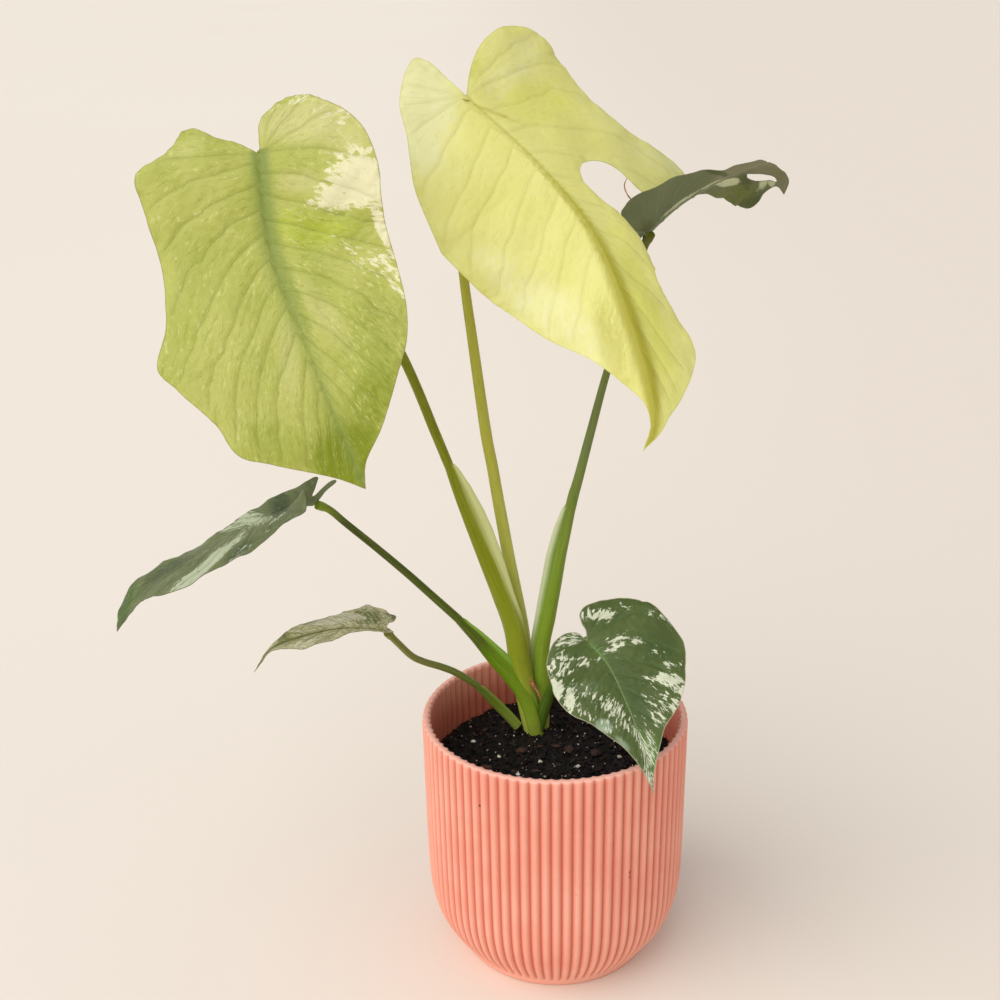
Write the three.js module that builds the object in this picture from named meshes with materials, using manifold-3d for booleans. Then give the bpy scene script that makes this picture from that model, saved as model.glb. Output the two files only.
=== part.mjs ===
// A young variegated monstera in a ribbed pink pot: six leaves on sheathed stalks, a short stem, moist soil.
// Millimetres, +Z up. The origin is the centre of the pot's flat underside, and the plant faces -Y.

import * as THREE from "three";
import { mergeVertices } from "three/addons/utils/BufferGeometryUtils.js";
import Module from "manifold-3d";

const wasm = await Module();
wasm.setup();

// ---- driving dimensions ----

const RIB_COUNT = 80;
const RIB_TURN = -0.32; // of a rib, so that the front ridges stand as in the photo
const FIT_GAP = 0.3;

// Outer wall from the foot up to the rim: height, ridge radius, groove depth.
const POT_OUTSIDE = [
  [0, 50.5, 0],
  [4, 52.5, 0],
  [9, 56, 1.1],
  [16, 60.8, 1.1],
  [25, 65.2, 1.1],
  [38, 68.3, 1.1],
  [60, 69.4, 1.1],
  [133, 70.3, 1.1],
  [137.5, 69.9, 0.4],
];
// Inner wall from the rim down to the floor, with the same ribs showing through.
const POT_INSIDE = [
  [137.5, 67, 0.5],
  [134, 66.8, 0.8],
  [60, 65.9, 0.8],
  [38, 64.8, 0.8],
  [25, 61.6, 0.4],
  [14, 56, 0],
  [5, 49, 0],
];

const SOIL_EDGE_HEIGHT = 107;
const SOIL_MOUND = 5;
const SOIL_MOUND_WIDTH = 32;
const SOIL_SEGMENTS = 48;
const SOIL_BUMP = 0.9;
const SOIL_BUMP_LENGTHS = new THREE.Vector2(24, 28); // from one rise to the next, along X and along Y
// Side of the soil body, a fit gap inside the pot: height, radius.
const SOIL_SIDE = [
  [5.4, 47],
  [14, 54.6],
  [25, 60.2],
  [38, 63.2],
  [60, 64.5],
  [100, 65],
];
const SOIL_RING_RADII = [65.1, 60, 53, 46, 39, 32, 25, 18, 11, 4];

const CROWN = new THREE.Vector2(-9, 29);
const STEM_BOTTOM = 70;
const STEM_TOP = 122;
const STEM_RADIUS = 6.5;
const STEM_TOP_RADIUS = 5.2;
const STEM_SIDES = 16;

const BLADE_THICKNESS = 0.9;
const LOBE_ROWS = 7;
const BLADE_ROWS = 14;
const BLADE_COLUMNS = 4;
const OUTLINE_SAMPLES = 400;
const MIDRIB_DIVISIONS = 40; // steps for measuring along each span of a midrib
const NORMAL_STEP = 0.5;
const VEIN_SLANT = 0.55; // how far a side vein runs towards the tip, per unit of its reach sideways
// How far along the reach and the rise of a side vein its bow is pulled.
const VEIN_BOW = new THREE.Vector2(0.56, 0.36);

const STALK_SIDES = 14;
const STALK_STEP = 9;
const STRAIGHT = 1e-3; // a turn too small to bend a cross-section

const WELD = 1e-4;

const POT_FINISH = { color: 0xf49a82, roughness: 0.55 };
const SOIL_FINISH = { color: 0x2a1c15, roughness: 0.95 };
const STEM_FINISH = { color: 0x9cae4a, roughness: 0.5 };
const STALK_FINISH = { color: 0x8aa040, roughness: 0.45 };
const BLADE_ROUGHNESS = 0.5;

// The leaves. midrib[0] is the heel behind the junction, midrib[1] is the junction with the stalk, and the
// last point is the tip. facing is the side that the upper face looks to. Outlines run from the sinus to the
// tip as [distance from the midrib, distance along it]; lobes behind the junction are negative. folds are in
// degrees from base to tip, positive towards the upper face; bend is the curvature across, per metre. Stalk
// points are [x, y, z, width, thickness, wrap], where wrap is the part of a turn that the sheath curls.
const LEAVES = [
  {
    name: "large_left",
    midrib: [[-135, -2, 452], [-132, -22, 435], [-127, -36, 394], [-113, -56, 360], [-100, -72, 329],
      [-87, -80, 297]],
    facing: [-0.15, -0.8, 0.55],
    right: {
      outline: [[0, 0], [0.5, -10], [4, -21], [13, -27], [24, -25], [34, -15], [47, -4], [54, 9],
        [54, 28], [51, 73], [45, 100], [34, 117], [18, 136], [5, 148], [0, 159]],
      folds: [12, 10, 8],
      bend: -4,
    },
    left: {
      outline: [[0, 0], [9, -6.5], [18, -10.5], [24, -15.5], [29, -20.3], [34, -19], [38.5, -12],
        [46, -5.2], [55, -1], [57.5, 6], [56, 16], [51, 40], [55, 57], [66, 72], [62, 86], [51, 107],
        [46, 124], [34, 133], [12, 148], [0, 159]],
      folds: [12, 10, 8],
      bend: -4,
    },
    stalk: [[-11, 31, 110, 10, 7, 0.25], [-17, 29, 145, 12, 4.4, 0.55], [-22, 28, 172, 14, 3.2, 0.5],
      [-39, 24, 230, 14, 3.4, 0.35], [-52, 18, 273, 6, 5, 0.1], [-73, 8, 331, 4.6, 4.6, 0],
      [-96, -1, 383, 4, 4, 0], [-117, -7, 418, 3.8, 3.8, 0], [-128, -13, 433, 3.8, 3.8, 0],
      [-132, -20, 435, 3.4, 3.4, 0]],
    sheathFacing: [0.75, -0.55, 0.2],
    color: 0xa8bc62,
  },
  {
    name: "large_centre",
    midrib: [[-58, 20, 474], [-40, 10, 455], [-6, -8, 425], [19, -30, 395], [36, -66, 353], [40, -84, 329],
      [35, -92, 317]],
    facing: [-0.35, -0.62, 0.7],
    right: {
      outline: [[0, 0], [5, -4], [15, -12], [29, -19.5], [44, -22], [55, -19], [63, -12], [66.5, -1],
        [66, 12], [62.5, 27], [62, 42], [70, 55], [81, 65], [83, 75], [60, 94], [26, 108], [25, 124],
        [29, 146], [28, 155], [15, 172], [6, 183], [0, 198]],
      folds: [-27, -30, -37, -45, -42, -25],
      bend: -4,
    },
    left: {
      outline: [[0, 0], [0.3, -7], [1.2, -17], [2.6, -24], [6, -29], [12, -28], [18, -24], [26, -16],
        [34, -3], [49, 15], [59, 41], [60, 55], [56, 91], [42, 122], [23, 145], [11, 164], [3, 178],
        [0, 198]],
      folds: [8, 4, 0, -5, -10, -15],
      bend: -4,
    },
    slit: [[100, 94], [82, 75], [64, 79.5], [48, 81], [41, 74], [37, 64], [30, 57.5], [22, 56], [16, 60],
      [14, 67], [16, 76], [20, 83], [23, 93], [25, 106], [46, 120]],
    stalk: [[-10, 28, 123, 5, 5, 0], [-15, 26, 167, 5.4, 5.4, 0], [-21, 26, 197, 5.8, 5.4, 0],
      [-27, 23, 239, 5.8, 5.4, 0], [-35, 18, 321, 5.6, 5.2, 0], [-42, 18, 370, 5, 5, 0],
      [-46, 18, 401, 4.4, 4.4, 0], [-45, 18, 434, 4, 4, 0], [-40.6, 11, 454, 3.6, 3.6, 0]],
    sheathFacing: [0.3, -0.9, 0.2],
    color: 0xdfdc72,
  },
  {
    name: "upper_right",
    midrib: [[36, 2, 385], [45, 9, 391], [60, 22, 400.6], [75, 36, 406.4], [88, 52, 409],
      [105, 70, 411], [119, 84, 405], [124, 89, 393]],
    facing: [0.05, 0.25, 0.96],
    right: {
      outline: [[0, 0], [5, -13], [20, -22], [34, -19], [40, -6], [41, 12], [38, 30], [32, 46],
        [23, 57], [18, 65], [21.8, 77], [25.5, 92], [26.5, 104], [28, 115], [25, 121.5], [19, 124.2],
        [13.5, 122.8], [9.8, 119.8], [3, 118], [0, 124]],
      folds: [-8, -10, -12, -32, -42, -30],
      bend: -4,
    },
    left: {
      outline: [[0, 0], [8, -9], [15, -14], [20.8, -15.1], [25.2, -15.2], [26.8, -12.4], [26.7, -8.5],
        [26, -3], [23.3, 11], [20.2, 21], [17.2, 30.5], [14.2, 40], [12.2, 47], [13.7, 52], [17, 60],
        [19, 65], [19.6, 71], [13, 86], [7.2, 98], [4.6, 111], [4, 117], [0, 124]],
      folds: [58, 52, 38, 10, 4, -10],
      bend: 2,
    },
    stalk: [[-5, 32, 110, 10, 6, 0.25], [-6, 31, 135, 12, 4, 0.5], [-5, 30, 160, 12, 3.6, 0.45],
      [-1, 28, 203, 11, 3.8, 0.35], [8, 26, 248, 7, 4.6, 0.15], [18, 22, 284, 4.6, 4.4, 0],
      [27, 17, 318, 4.2, 4.2, 0], [37, 12, 357, 3.6, 3.6, 0], [43, 9.5, 381, 3.4, 3.4, 0],
      [44.4, 9, 388.2, 3.4, 3.4, 0]],
    sheathFacing: [-0.8, -0.5, 0.2],
    color: 0x66754f,
  },
  {
    name: "lower_left",
    midrib: [[-103, 0, 255], [-118, -10, 263], [-141, -26, 262], [-167, -42, 252], [-193, -56, 240],
      [-209, -64, 220]],
    facing: [-0.3, 0.05, 0.95],
    right: {
      outline: [[0, 0], [0.8, -0.9], [6, -4.6], [10.5, -7.6], [12, -7.6], [10.8, -5.4], [6.8, -2.2],
        [3.6, 1.4], [5, 5], [12, 10], [23, 15.5], [30, 20.5], [29.5, 26], [32.5, 34], [35, 43],
        [35.5, 53], [32.5, 63], [33, 72], [34, 80], [29, 87.5], [20, 93.5], [7, 100], [1.6, 109],
        [0, 119]],
      folds: [85, 10, 4, 4, 4, 4, 4],
      bend: -4,
    },
    left: {
      outline: [[0, 0], [4.5, 0.2], [10.5, -3.4], [18.8, -7.2], [20.2, -7], [18, -4], [15.6, -1],
        [14.2, 3.5], [14.4, 9], [17, 19], [18, 28], [19.5, 36], [20, 46], [21.5, 55], [21, 77],
        [18.5, 86], [18.5, 98], [17.5, 107], [10.5, 114], [0, 119]],
      folds: [38, 4, -4, -4, 4, 16],
      bend: 0,
    },
    stalk: [[-13, 31, 112, 9, 6, 0.2], [-18, 30, 134, 12, 3.8, 0.45], [-30, 28, 153, 13, 3.4, 0.45],
      [-41, 24, 170, 11, 3.6, 0.35], [-52, 20, 185, 7, 4.2, 0.15], [-61, 17, 195, 4.4, 4.2, 0],
      [-75, 12, 213, 4, 4, 0], [-88, 7, 229, 3.8, 3.8, 0], [-104, 0, 247, 3.6, 3.6, 0],
      [-112, -6, 257, 3.4, 3.4, 0], [-117, -10, 262, 3.2, 3.2, 0]],
    sheathFacing: [0.5, -0.4, 0.75],
    color: 0x647655,
  },
  {
    name: "small_left",
    midrib: [[-77, -27, 199], [-84, -30, 202], [-106, -40, 208], [-127, -50, 208], [-139, -56, 205],
      [-146, -60, 196]],
    facing: [-0.15, -0.04, 0.97],
    right: {
      outline: [[0, 0], [2.5, -2], [5.4, 2.5], [6, 9], [7, 15], [8.2, 21], [11, 28], [14, 35],
        [17, 42], [17.4, 48], [15.4, 52.6], [10, 56], [4.4, 60], [1.4, 67], [0, 75]],
      folds: [12, 12, 8],
      bend: -4,
    },
    left: {
      outline: [[0, 0], [4, -1], [9, -4], [13, -8], [19, -11.5], [20.5, -8.5], [23, -6], [25, -1.5],
        [26.2, 2], [23.8, 8], [20.2, 15], [16.5, 20.5], [14.2, 26], [13, 31], [11.8, 38], [10.6, 45],
        [8.6, 50], [5.2, 55.2], [2.4, 61.2], [1, 68.8], [0, 75]],
      folds: [8, 8, 6],
      bend: -4,
    },
    stalk: [[-17, 27, 109, 6, 4.6, 0.2], [-24, 24.5, 120, 8, 3.4, 0.4], [-31, 20.5, 130, 8, 3.4, 0.35],
      [-39, 16, 141, 5.4, 3.8, 0.1], [-44, 12, 148, 3.8, 3.6, 0], [-52, 6, 157, 3.4, 3.4, 0],
      [-67, -7, 172, 3.2, 3.2, 0], [-74, -13, 179, 3.1, 3.1, 0], [-79, -21, 190, 3, 3, 0],
      [-83.2, -29, 200.2, 2.8, 2.8, 0]],
    sheathFacing: [0.5, -0.4, 0.75],
    color: 0xb3b482,
  },
  {
    name: "front_right",
    midrib: [[4, -13, 202], [15, -26, 193], [26, -38, 183], [36, -56, 165], [42, -68, 151],
      [45, -78, 135]],
    facing: [0.1, -0.72, 0.7],
    right: {
      outline: [[0, 0], [2.6, -4], [3.4, -8.5], [5.6, -13.2], [9.8, -15.2], [15, -14.2], [22, -11.6],
        [29, -8], [35.4, -1.6], [39, 7.5], [41.2, 18.5], [39.8, 24.5], [36, 31.5], [32, 38.4],
        [25, 47.5], [19.6, 51.8], [13, 56.4], [8.2, 62.8], [4.5, 68.8], [1.6, 76], [0, 85]],
      folds: [8, 8, 8],
      bend: -8,
    },
    left: {
      outline: [[0, 0], [1.5, -5.6], [6.8, -8.5], [14.2, -7.8], [21.8, -3.4], [27.2, 2.8], [31, 12],
        [32, 20], [31, 29], [27.4, 36.8], [21, 43.4], [15.8, 50.8], [10.5, 59], [6, 68.5], [2, 77.5],
        [0, 85]],
      folds: [10, 10, 10],
      bend: -8,
    },
    stalk: [[-4, 28, 109, 8, 5, 0.2], [-2, 24, 127, 8, 3.8, 0.35], [0, 17, 144, 5.4, 3.8, 0.15],
      [4, 4, 164, 3.6, 3.6, 0], [9.5, -9, 181, 3.2, 3.2, 0], [13, -19, 190, 3, 3, 0],
      [14.6, -24.2, 191.8, 2.8, 2.8, 0]],
    sheathFacing: [0.3, -0.9, 0.4],
    color: 0x48623a,
  },
];

// Loose pieces lying on the soil: half-sizes, how much of the lower half is sunk, and their places [x, y].
const PERLITE = {
  prefix: "perlite",
  sizes: [1.8, 1.3, 1.1],
  sink: 0.3,
  finish: { color: 0xe9e6dd, roughness: 0.9 },
  places: [[-44, 20], [-30, 3], [-20, -15], [-8, -5], [2, -24], [12, -8], [17, -36], [26, -18], [-33, -22],
    [35, 2]],
};
const BARK = {
  prefix: "bark_chip",
  sizes: [4.4, 2.7, 1.3],
  sink: 0.3,
  finish: { color: 0x5a3d2b, roughness: 0.9 },
  places: [[-37, -7], [-18, 5], [8, 6], [22, 6], [29, -32], [-5, -37], [42, -13], [-20, -34]],
};
const CRUMB_TURN = 2.4; // radians from one piece to the next, so that no two lie alike

// ---- solids ----

// A geometry as a manifold solid: only its positions, welded, without faces that have no area.
function solidOf(geometry) {
  const bare = geometry.clone();
  bare.deleteAttribute("normal");
  bare.deleteAttribute("uv");
  const welded = mergeVertices(bare, WELD);
  const index = welded.index.array;
  const kept = [];
  for (let i = 0; i < index.length; i += 3) {
    const [a, b, c] = index.slice(i, i + 3);
    if (a !== b && b !== c && c !== a) kept.push(a, b, c);
  }
  const vertProperties = new Float32Array(welded.attributes.position.array);
  return new wasm.Manifold(new wasm.Mesh({ numProp: 3, vertProperties, triVerts: new Uint32Array(kept) }));
}

// The largest body of a solid as a three.js geometry: a cut can leave slivers beside it.
function geometryOf(solid) {
  const bodies = solid.decompose();
  const largest = bodies.reduce((best, body) => (body.volume() > best.volume() ? body : best));
  const mesh = largest.getMesh();
  const geometry = new THREE.BufferGeometry();
  geometry.setAttribute("position", new THREE.BufferAttribute(new Float32Array(mesh.vertProperties), 3));
  geometry.setIndex(new THREE.BufferAttribute(new Uint32Array(mesh.triVerts), 1));
  geometry.computeVertexNormals();
  return geometry;
}

// A closed skin over rings of equally many points. A fan closes each end.
function loft(rings) {
  const sides = rings[0].length;
  const positions = rings.flat().flatMap((point) => point.toArray());
  const index = [];
  for (let ring = 0; ring < rings.length - 1; ring++) {
    for (let side = 0; side < sides; side++) {
      const a = ring * sides + side;
      const b = ring * sides + ((side + 1) % sides);
      index.push(a, b, a + sides, b, b + sides, a + sides);
    }
  }
  const closeEnd = (ring, reversed) => {
    const middle = positions.length / 3;
    const centre = new THREE.Vector3();
    rings[ring].forEach((point) => centre.addScaledVector(point, 1 / sides));
    positions.push(...centre.toArray());
    for (let side = 0; side < sides; side++) {
      const a = ring * sides + side;
      const b = ring * sides + ((side + 1) % sides);
      index.push(...(reversed ? [middle, b, a] : [middle, a, b]));
    }
  };
  closeEnd(0, true);
  closeEnd(rings.length - 1, false);
  const geometry = new THREE.BufferGeometry();
  geometry.setAttribute("position", new THREE.Float32BufferAttribute(positions, 3));
  geometry.setIndex(index);
  return geometry;
}

// ---- pot and soil ----

function ribbedRing([height, radius, groove]) {
  return Array.from({ length: 2 * RIB_COUNT }, (_, k) => {
    const angle = ((k + 2 * RIB_TURN) * Math.PI) / RIB_COUNT;
    const r = radius - (k % 2) * groove;
    return new THREE.Vector3(r * Math.cos(angle), r * Math.sin(angle), height);
  });
}

function potSolid() {
  return solidOf(loft([...POT_OUTSIDE, ...POT_INSIDE].map(ribbedRing)));
}

function soilHeight(x, y) {
  const fromCrown = Math.hypot(x - CROWN.x, y - CROWN.y) / SOIL_MOUND_WIDTH;
  const wave = (distance, length) => Math.sin((2 * Math.PI * distance) / length);
  const bumps = wave(x, SOIL_BUMP_LENGTHS.x) * wave(y, SOIL_BUMP_LENGTHS.y);
  return SOIL_EDGE_HEIGHT + SOIL_MOUND * Math.exp(-fromCrown * fromCrown) + SOIL_BUMP * bumps;
}

function soilSolid() {
  const ring = (radius, heightAt) =>
    Array.from({ length: SOIL_SEGMENTS }, (_, k) => {
      const angle = (k * 2 * Math.PI) / SOIL_SEGMENTS;
      const x = radius * Math.cos(angle);
      const y = radius * Math.sin(angle);
      return new THREE.Vector3(x, y, heightAt(x, y));
    });
  const side = SOIL_SIDE.map(([height, radius]) => ring(radius, () => height));
  const top = SOIL_RING_RADII.map((radius) => ring(radius, soilHeight));
  return solidOf(loft([...side, ...top]));
}

// One piece of perlite or bark where it lies: a small faceted lump. extra widens it on every side.
function crumb({ sizes, sink, places }, k, extra = 0) {
  const [x, y] = places[k];
  const geometry = new THREE.DodecahedronGeometry(1);
  geometry.scale(...sizes.map((size) => size + extra));
  geometry.rotateZ(k * CRUMB_TURN);
  geometry.translate(x, y, soilHeight(x, y) + sizes[2] * (1 - sink));
  return geometry;
}

// ---- stalks ----

// One cross-section: an oval bent round into a channel when the sheath wraps.
function stalkSection(centre, across, up, width, thickness, wrap) {
  const arc = Math.max(wrap * 2 * Math.PI, STRAIGHT);
  const bendRadius = width / arc;
  return Array.from({ length: STALK_SIDES }, (_, k) => {
    const angle = (k * 2 * Math.PI) / STALK_SIDES;
    const along = 0.5 * width * Math.cos(angle);
    const lift = 0.5 * thickness * Math.sin(angle);
    const turn = along / bendRadius;
    const r = bendRadius - lift;
    return centre
      .clone()
      .addScaledVector(across, r * Math.sin(turn))
      .addScaledVector(up, bendRadius - r * Math.cos(turn));
  });
}

// A stalk with its sheath, swept along its points. extra widens it on every side.
function stalkSolid(leaf, extra = 0) {
  const curve = new THREE.CatmullRomCurve3(leaf.stalk.map(([x, y, z]) => new THREE.Vector3(x, y, z)));
  const sizes = new THREE.SplineCurve(leaf.stalk.map((p) => new THREE.Vector2(p[3], p[4])));
  const wraps = new THREE.SplineCurve(leaf.stalk.map((p, k) => new THREE.Vector2(k, p[5])));
  const facing = new THREE.Vector3(...leaf.sheathFacing);
  const count = Math.ceil(curve.getLength() / STALK_STEP);
  const rings = [];
  for (let k = 0; k <= count; k++) {
    const t = curve.getUtoTmapping(k / count);
    const tangent = curve.getTangent(t);
    const across = new THREE.Vector3().crossVectors(facing, tangent).normalize();
    const up = new THREE.Vector3().crossVectors(tangent, across);
    const size = sizes.getPoint(t);
    const wrap = Math.max(0, wraps.getPoint(t).y);
    const centre = curve.getPoint(t);
    if (extra && k === 0) centre.addScaledVector(tangent, -extra);
    if (extra && k === count) centre.addScaledVector(tangent, extra);
    rings.push(stalkSection(centre, across, up, size.x + 2 * extra, size.y + 2 * extra, wrap));
  }
  return solidOf(loft(rings));
}

function stemSolid(extra = 0) {
  const height = STEM_TOP - STEM_BOTTOM + 2 * extra;
  const geometry = new THREE.CylinderGeometry(
    STEM_TOP_RADIUS + extra, STEM_RADIUS + extra, height, STEM_SIDES);
  geometry.rotateX(Math.PI / 2);
  geometry.translate(CROWN.x, CROWN.y, (STEM_TOP + STEM_BOTTOM) / 2);
  return solidOf(geometry);
}

// ---- blades ----

// The bent surface of one leaf, and the way from its flat coordinates to space.
class LeafSurface {
  constructor(leaf) {
    const points = leaf.midrib.map((p) => new THREE.Vector3(...p));
    const segments = points.length - 1;
    this.curve = new THREE.CatmullRomCurve3(points, false, "catmullrom", 0.5);
    this.curve.arcLengthDivisions = MIDRIB_DIVISIONS * segments;
    this.heel = this.curve.getLengths()[MIDRIB_DIVISIONS];
    this.total = this.curve.getLength();
    this.facing = new THREE.Vector3(...leaf.facing).normalize();
    this.leaf = leaf;
  }

  get length() {
    return this.total - this.heel;
  }

  foldAt(folds, along) {
    const place = THREE.MathUtils.clamp(along / this.length, 0, 1) * (folds.length - 1);
    const k = Math.min(Math.floor(place), folds.length - 2);
    return THREE.MathUtils.degToRad(THREE.MathUtils.lerp(folds[k], folds[k + 1], place - k));
  }

  // a is the signed distance from the midrib, right positive; along is the distance from the junction.
  point(a, along) {
    const place = (along + this.heel) / this.total;
    const u = THREE.MathUtils.clamp(place, 0, 1);
    const tangent = this.curve.getTangentAt(u);
    const across = new THREE.Vector3().crossVectors(this.facing, tangent).normalize();
    const up = new THREE.Vector3().crossVectors(tangent, across);
    const half = a < 0 ? this.leaf.left : this.leaf.right;
    const fold = this.foldAt(half.folds, along);
    const curvature = half.bend / 1000 + 1e-9;
    const reach = Math.abs(a);
    const x = Math.sin(curvature * reach) / curvature;
    const y = (1 - Math.cos(curvature * reach)) / curvature;
    return this.curve
      .getPointAt(u)
      .addScaledVector(tangent, (place - u) * this.total)
      .addScaledVector(across, Math.sign(a) * (x * Math.cos(fold) - y * Math.sin(fold)))
      .addScaledVector(up, x * Math.sin(fold) + y * Math.cos(fold));
  }

  // The point at a height over the surface.
  raised(a, along, height) {
    const step = NORMAL_STEP;
    const sideways = this.point(a + step, along).sub(this.point(a - step, along));
    const lengthways = this.point(a, along + step).sub(this.point(a, along - step));
    const normal = lengthways.cross(sideways).normalize();
    return this.point(a, along).addScaledVector(normal, height);
  }
}

// Points of one half's outline where the side veins end: first the fan of the basal lobe, then pair by pair
// with the places on the midrib where the veins start. Both halves share those places.
function veinEnds(outline, length) {
  const curve = new THREE.SplineCurve(outline.map(([a, along]) => new THREE.Vector2(a, along)));
  const samples = curve.getSpacedPoints(OUTLINE_SAMPLES);
  let reached = 0;
  const starts = samples.map((p) => (reached = Math.max(reached, p.y - VEIN_SLANT * p.x)));
  starts[starts.length - 1] = length;
  const firstPast = (start) => starts.findIndex((value) => value >= start);
  const fanEnd = Math.max(starts.findIndex((value) => value > 0) - 1, 1);
  const ends = [];
  for (let k = 0; k < LOBE_ROWS; k++) {
    ends.push({ start: 0, end: samples[Math.round((fanEnd * k) / LOBE_ROWS)] });
  }
  for (let k = 0; k <= BLADE_ROWS; k++) {
    const start = (length * k) / BLADE_ROWS;
    const end = k ? samples[firstPast(start)] : samples[fanEnd];
    ends.push({ start, end });
  }
  ends.at(-1).end = new THREE.Vector2(0, length);
  return ends;
}

// The leaf laid flat as a thin plate: x is the distance from the midrib, y along it, z the thickness.
function flatBlade(leaf, length, thickness) {
  const positions = [];
  const index = [];
  const rows = LOBE_ROWS + BLADE_ROWS + 1;
  const columns = BLADE_COLUMNS + 1;
  for (const sign of [1, -1]) {
    const half = sign > 0 ? leaf.right : leaf.left;
    const first = positions.length / 3;
    for (const { start, end } of veinEnds(half.outline, length)) {
      const rise = end.y - start;
      const vein = new THREE.QuadraticBezierCurve(
        new THREE.Vector2(0, start),
        new THREE.Vector2(VEIN_BOW.x * end.x, start + VEIN_BOW.y * rise),
        end,
      );
      for (let k = 0; k < columns; k++) {
        const p = vein.getPoint(k / BLADE_COLUMNS);
        positions.push(sign * p.x, p.y, thickness / 2, sign * p.x, p.y, -thickness / 2);
      }
    }
    const at = (row, column, under) => first + 2 * (row * columns + column) + under;
    const quad = (a, b, c, d) => {
      index.push(...(sign > 0 ? [a, b, c, a, c, d] : [c, b, a, d, c, a]));
    };
    for (let row = 0; row < rows - 1; row++) {
      for (let k = 0; k < BLADE_COLUMNS; k++) {
        quad(at(row, k, 0), at(row, k + 1, 0), at(row + 1, k + 1, 0), at(row + 1, k, 0));
        quad(at(row + 1, k, 1), at(row + 1, k + 1, 1), at(row, k + 1, 1), at(row, k, 1));
      }
      const rim = BLADE_COLUMNS;
      quad(at(row, rim, 0), at(row, rim, 1), at(row + 1, rim, 1), at(row + 1, rim, 0));
    }
  }
  const geometry = new THREE.BufferGeometry();
  geometry.setAttribute("position", new THREE.Float32BufferAttribute(positions, 3));
  geometry.setIndex(index);
  return solidOf(geometry);
}

function slitCutter(slit) {
  const depth = 4 * BLADE_THICKNESS;
  const shape = new THREE.Shape(slit.map(([a, along]) => new THREE.Vector2(a, along)));
  const geometry = new THREE.ExtrudeGeometry(shape, { depth, bevelEnabled: false });
  return solidOf(geometry.translate(0, 0, -depth / 2));
}

// The blade in its bent shape. extra widens it above and below, and the rim of the plate stays where it is.
function bladeGeometry(leaf, extra = 0) {
  const surface = new LeafSurface(leaf);
  let flat = flatBlade(leaf, surface.length, BLADE_THICKNESS + 2 * extra);
  if (leaf.slit) flat = flat.subtract(slitCutter(leaf.slit));
  const geometry = geometryOf(flat);
  const position = geometry.attributes.position;
  for (let k = 0; k < position.count; k++) {
    const p = surface.raised(position.getX(k), position.getY(k), position.getZ(k));
    position.setXYZ(k, p.x, p.y, p.z);
  }
  geometry.index.array.reverse(); // the flat plate's axes are left-handed in space, so its faces turn round
  geometry.computeVertexNormals();
  return geometry;
}

// ---- assembly ----

const plant = new THREE.Group();

function addPiece(name, geometry, { color, roughness }) {
  const material = new THREE.MeshStandardMaterial({ color, roughness, metalness: 0 });
  const mesh = new THREE.Mesh(geometry, material);
  mesh.name = name;
  plant.add(mesh);
}

addPiece("pot", geometryOf(potSolid()), POT_FINISH);
addPiece("stem", geometryOf(stemSolid()), STEM_FINISH);

let taken = stemSolid(FIT_GAP);
let soil = soilSolid().subtract(taken);

// The youngest stalk sits innermost, and each older one wraps round what is there.
const INNERMOST_FIRST = [
  "large_centre",
  "large_left",
  "upper_right",
  "front_right",
  "lower_left",
  "small_left",
];
for (const name of INNERMOST_FIRST) {
  const leaf = LEAVES.find((one) => one.name === name);
  const wide = stalkSolid(leaf, FIT_GAP);
  const underBlade = stalkSolid(leaf).subtract(solidOf(bladeGeometry(leaf, FIT_GAP)));
  addPiece(`stalk_${name}`, geometryOf(underBlade.subtract(taken)), STALK_FINISH);
  taken = taken.add(wide);
  soil = soil.subtract(wide);
}

for (const leaf of LEAVES) {
  addPiece(`leaf_${leaf.name}`, bladeGeometry(leaf), { color: leaf.color, roughness: BLADE_ROUGHNESS });
}

for (const kind of [PERLITE, BARK]) {
  kind.places.forEach((_, k) => {
    addPiece(`${kind.prefix}_${k + 1}`, crumb(kind, k), kind.finish);
    soil = soil.subtract(solidOf(crumb(kind, k, FIT_GAP)));
  });
}

addPiece("soil", geometryOf(soil), SOIL_FINISH);

export default plant;
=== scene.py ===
"""A young variegated monstera in a ribbed pink pot: the finished surfaces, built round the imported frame.

Tables and shapes are in millimetres, in the frame's own axes: X to the right, Y away from the viewer, Z up,
with the origin at the centre of the pot's underside. mesh_piece() turns them into metres.
"""
import math

import bmesh
import bpy
import numpy as np
from mathutils import Matrix, Vector
from mathutils.geometry import delaunay_2d_cdt


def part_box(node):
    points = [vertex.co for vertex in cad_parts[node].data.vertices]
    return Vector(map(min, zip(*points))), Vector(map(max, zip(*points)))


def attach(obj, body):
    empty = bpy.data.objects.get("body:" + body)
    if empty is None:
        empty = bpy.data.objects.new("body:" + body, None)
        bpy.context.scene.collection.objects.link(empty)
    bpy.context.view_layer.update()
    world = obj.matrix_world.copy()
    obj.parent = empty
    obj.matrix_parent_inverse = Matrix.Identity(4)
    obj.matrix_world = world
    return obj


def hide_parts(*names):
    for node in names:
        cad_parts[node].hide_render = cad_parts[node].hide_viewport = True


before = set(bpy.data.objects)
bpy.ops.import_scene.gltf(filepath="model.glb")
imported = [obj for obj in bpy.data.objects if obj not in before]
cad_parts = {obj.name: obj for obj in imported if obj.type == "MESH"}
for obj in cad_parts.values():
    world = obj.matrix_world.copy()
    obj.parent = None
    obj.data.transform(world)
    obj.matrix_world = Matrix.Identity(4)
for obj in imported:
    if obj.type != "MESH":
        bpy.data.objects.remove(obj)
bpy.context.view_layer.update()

MM = 0.001
ROOT = "root"

# ---- view and light ----

CAMERA_PLACE = (-27.3, -709.6, 538.3)
CAMERA_PITCH = 21.5  # degrees below the horizon
CAMERA_ROLL = -0.88
FOCAL_PIXELS = 1520
IMAGE_PIXELS = 1000
SENSOR_WIDTH = 36  # millimetres

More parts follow.
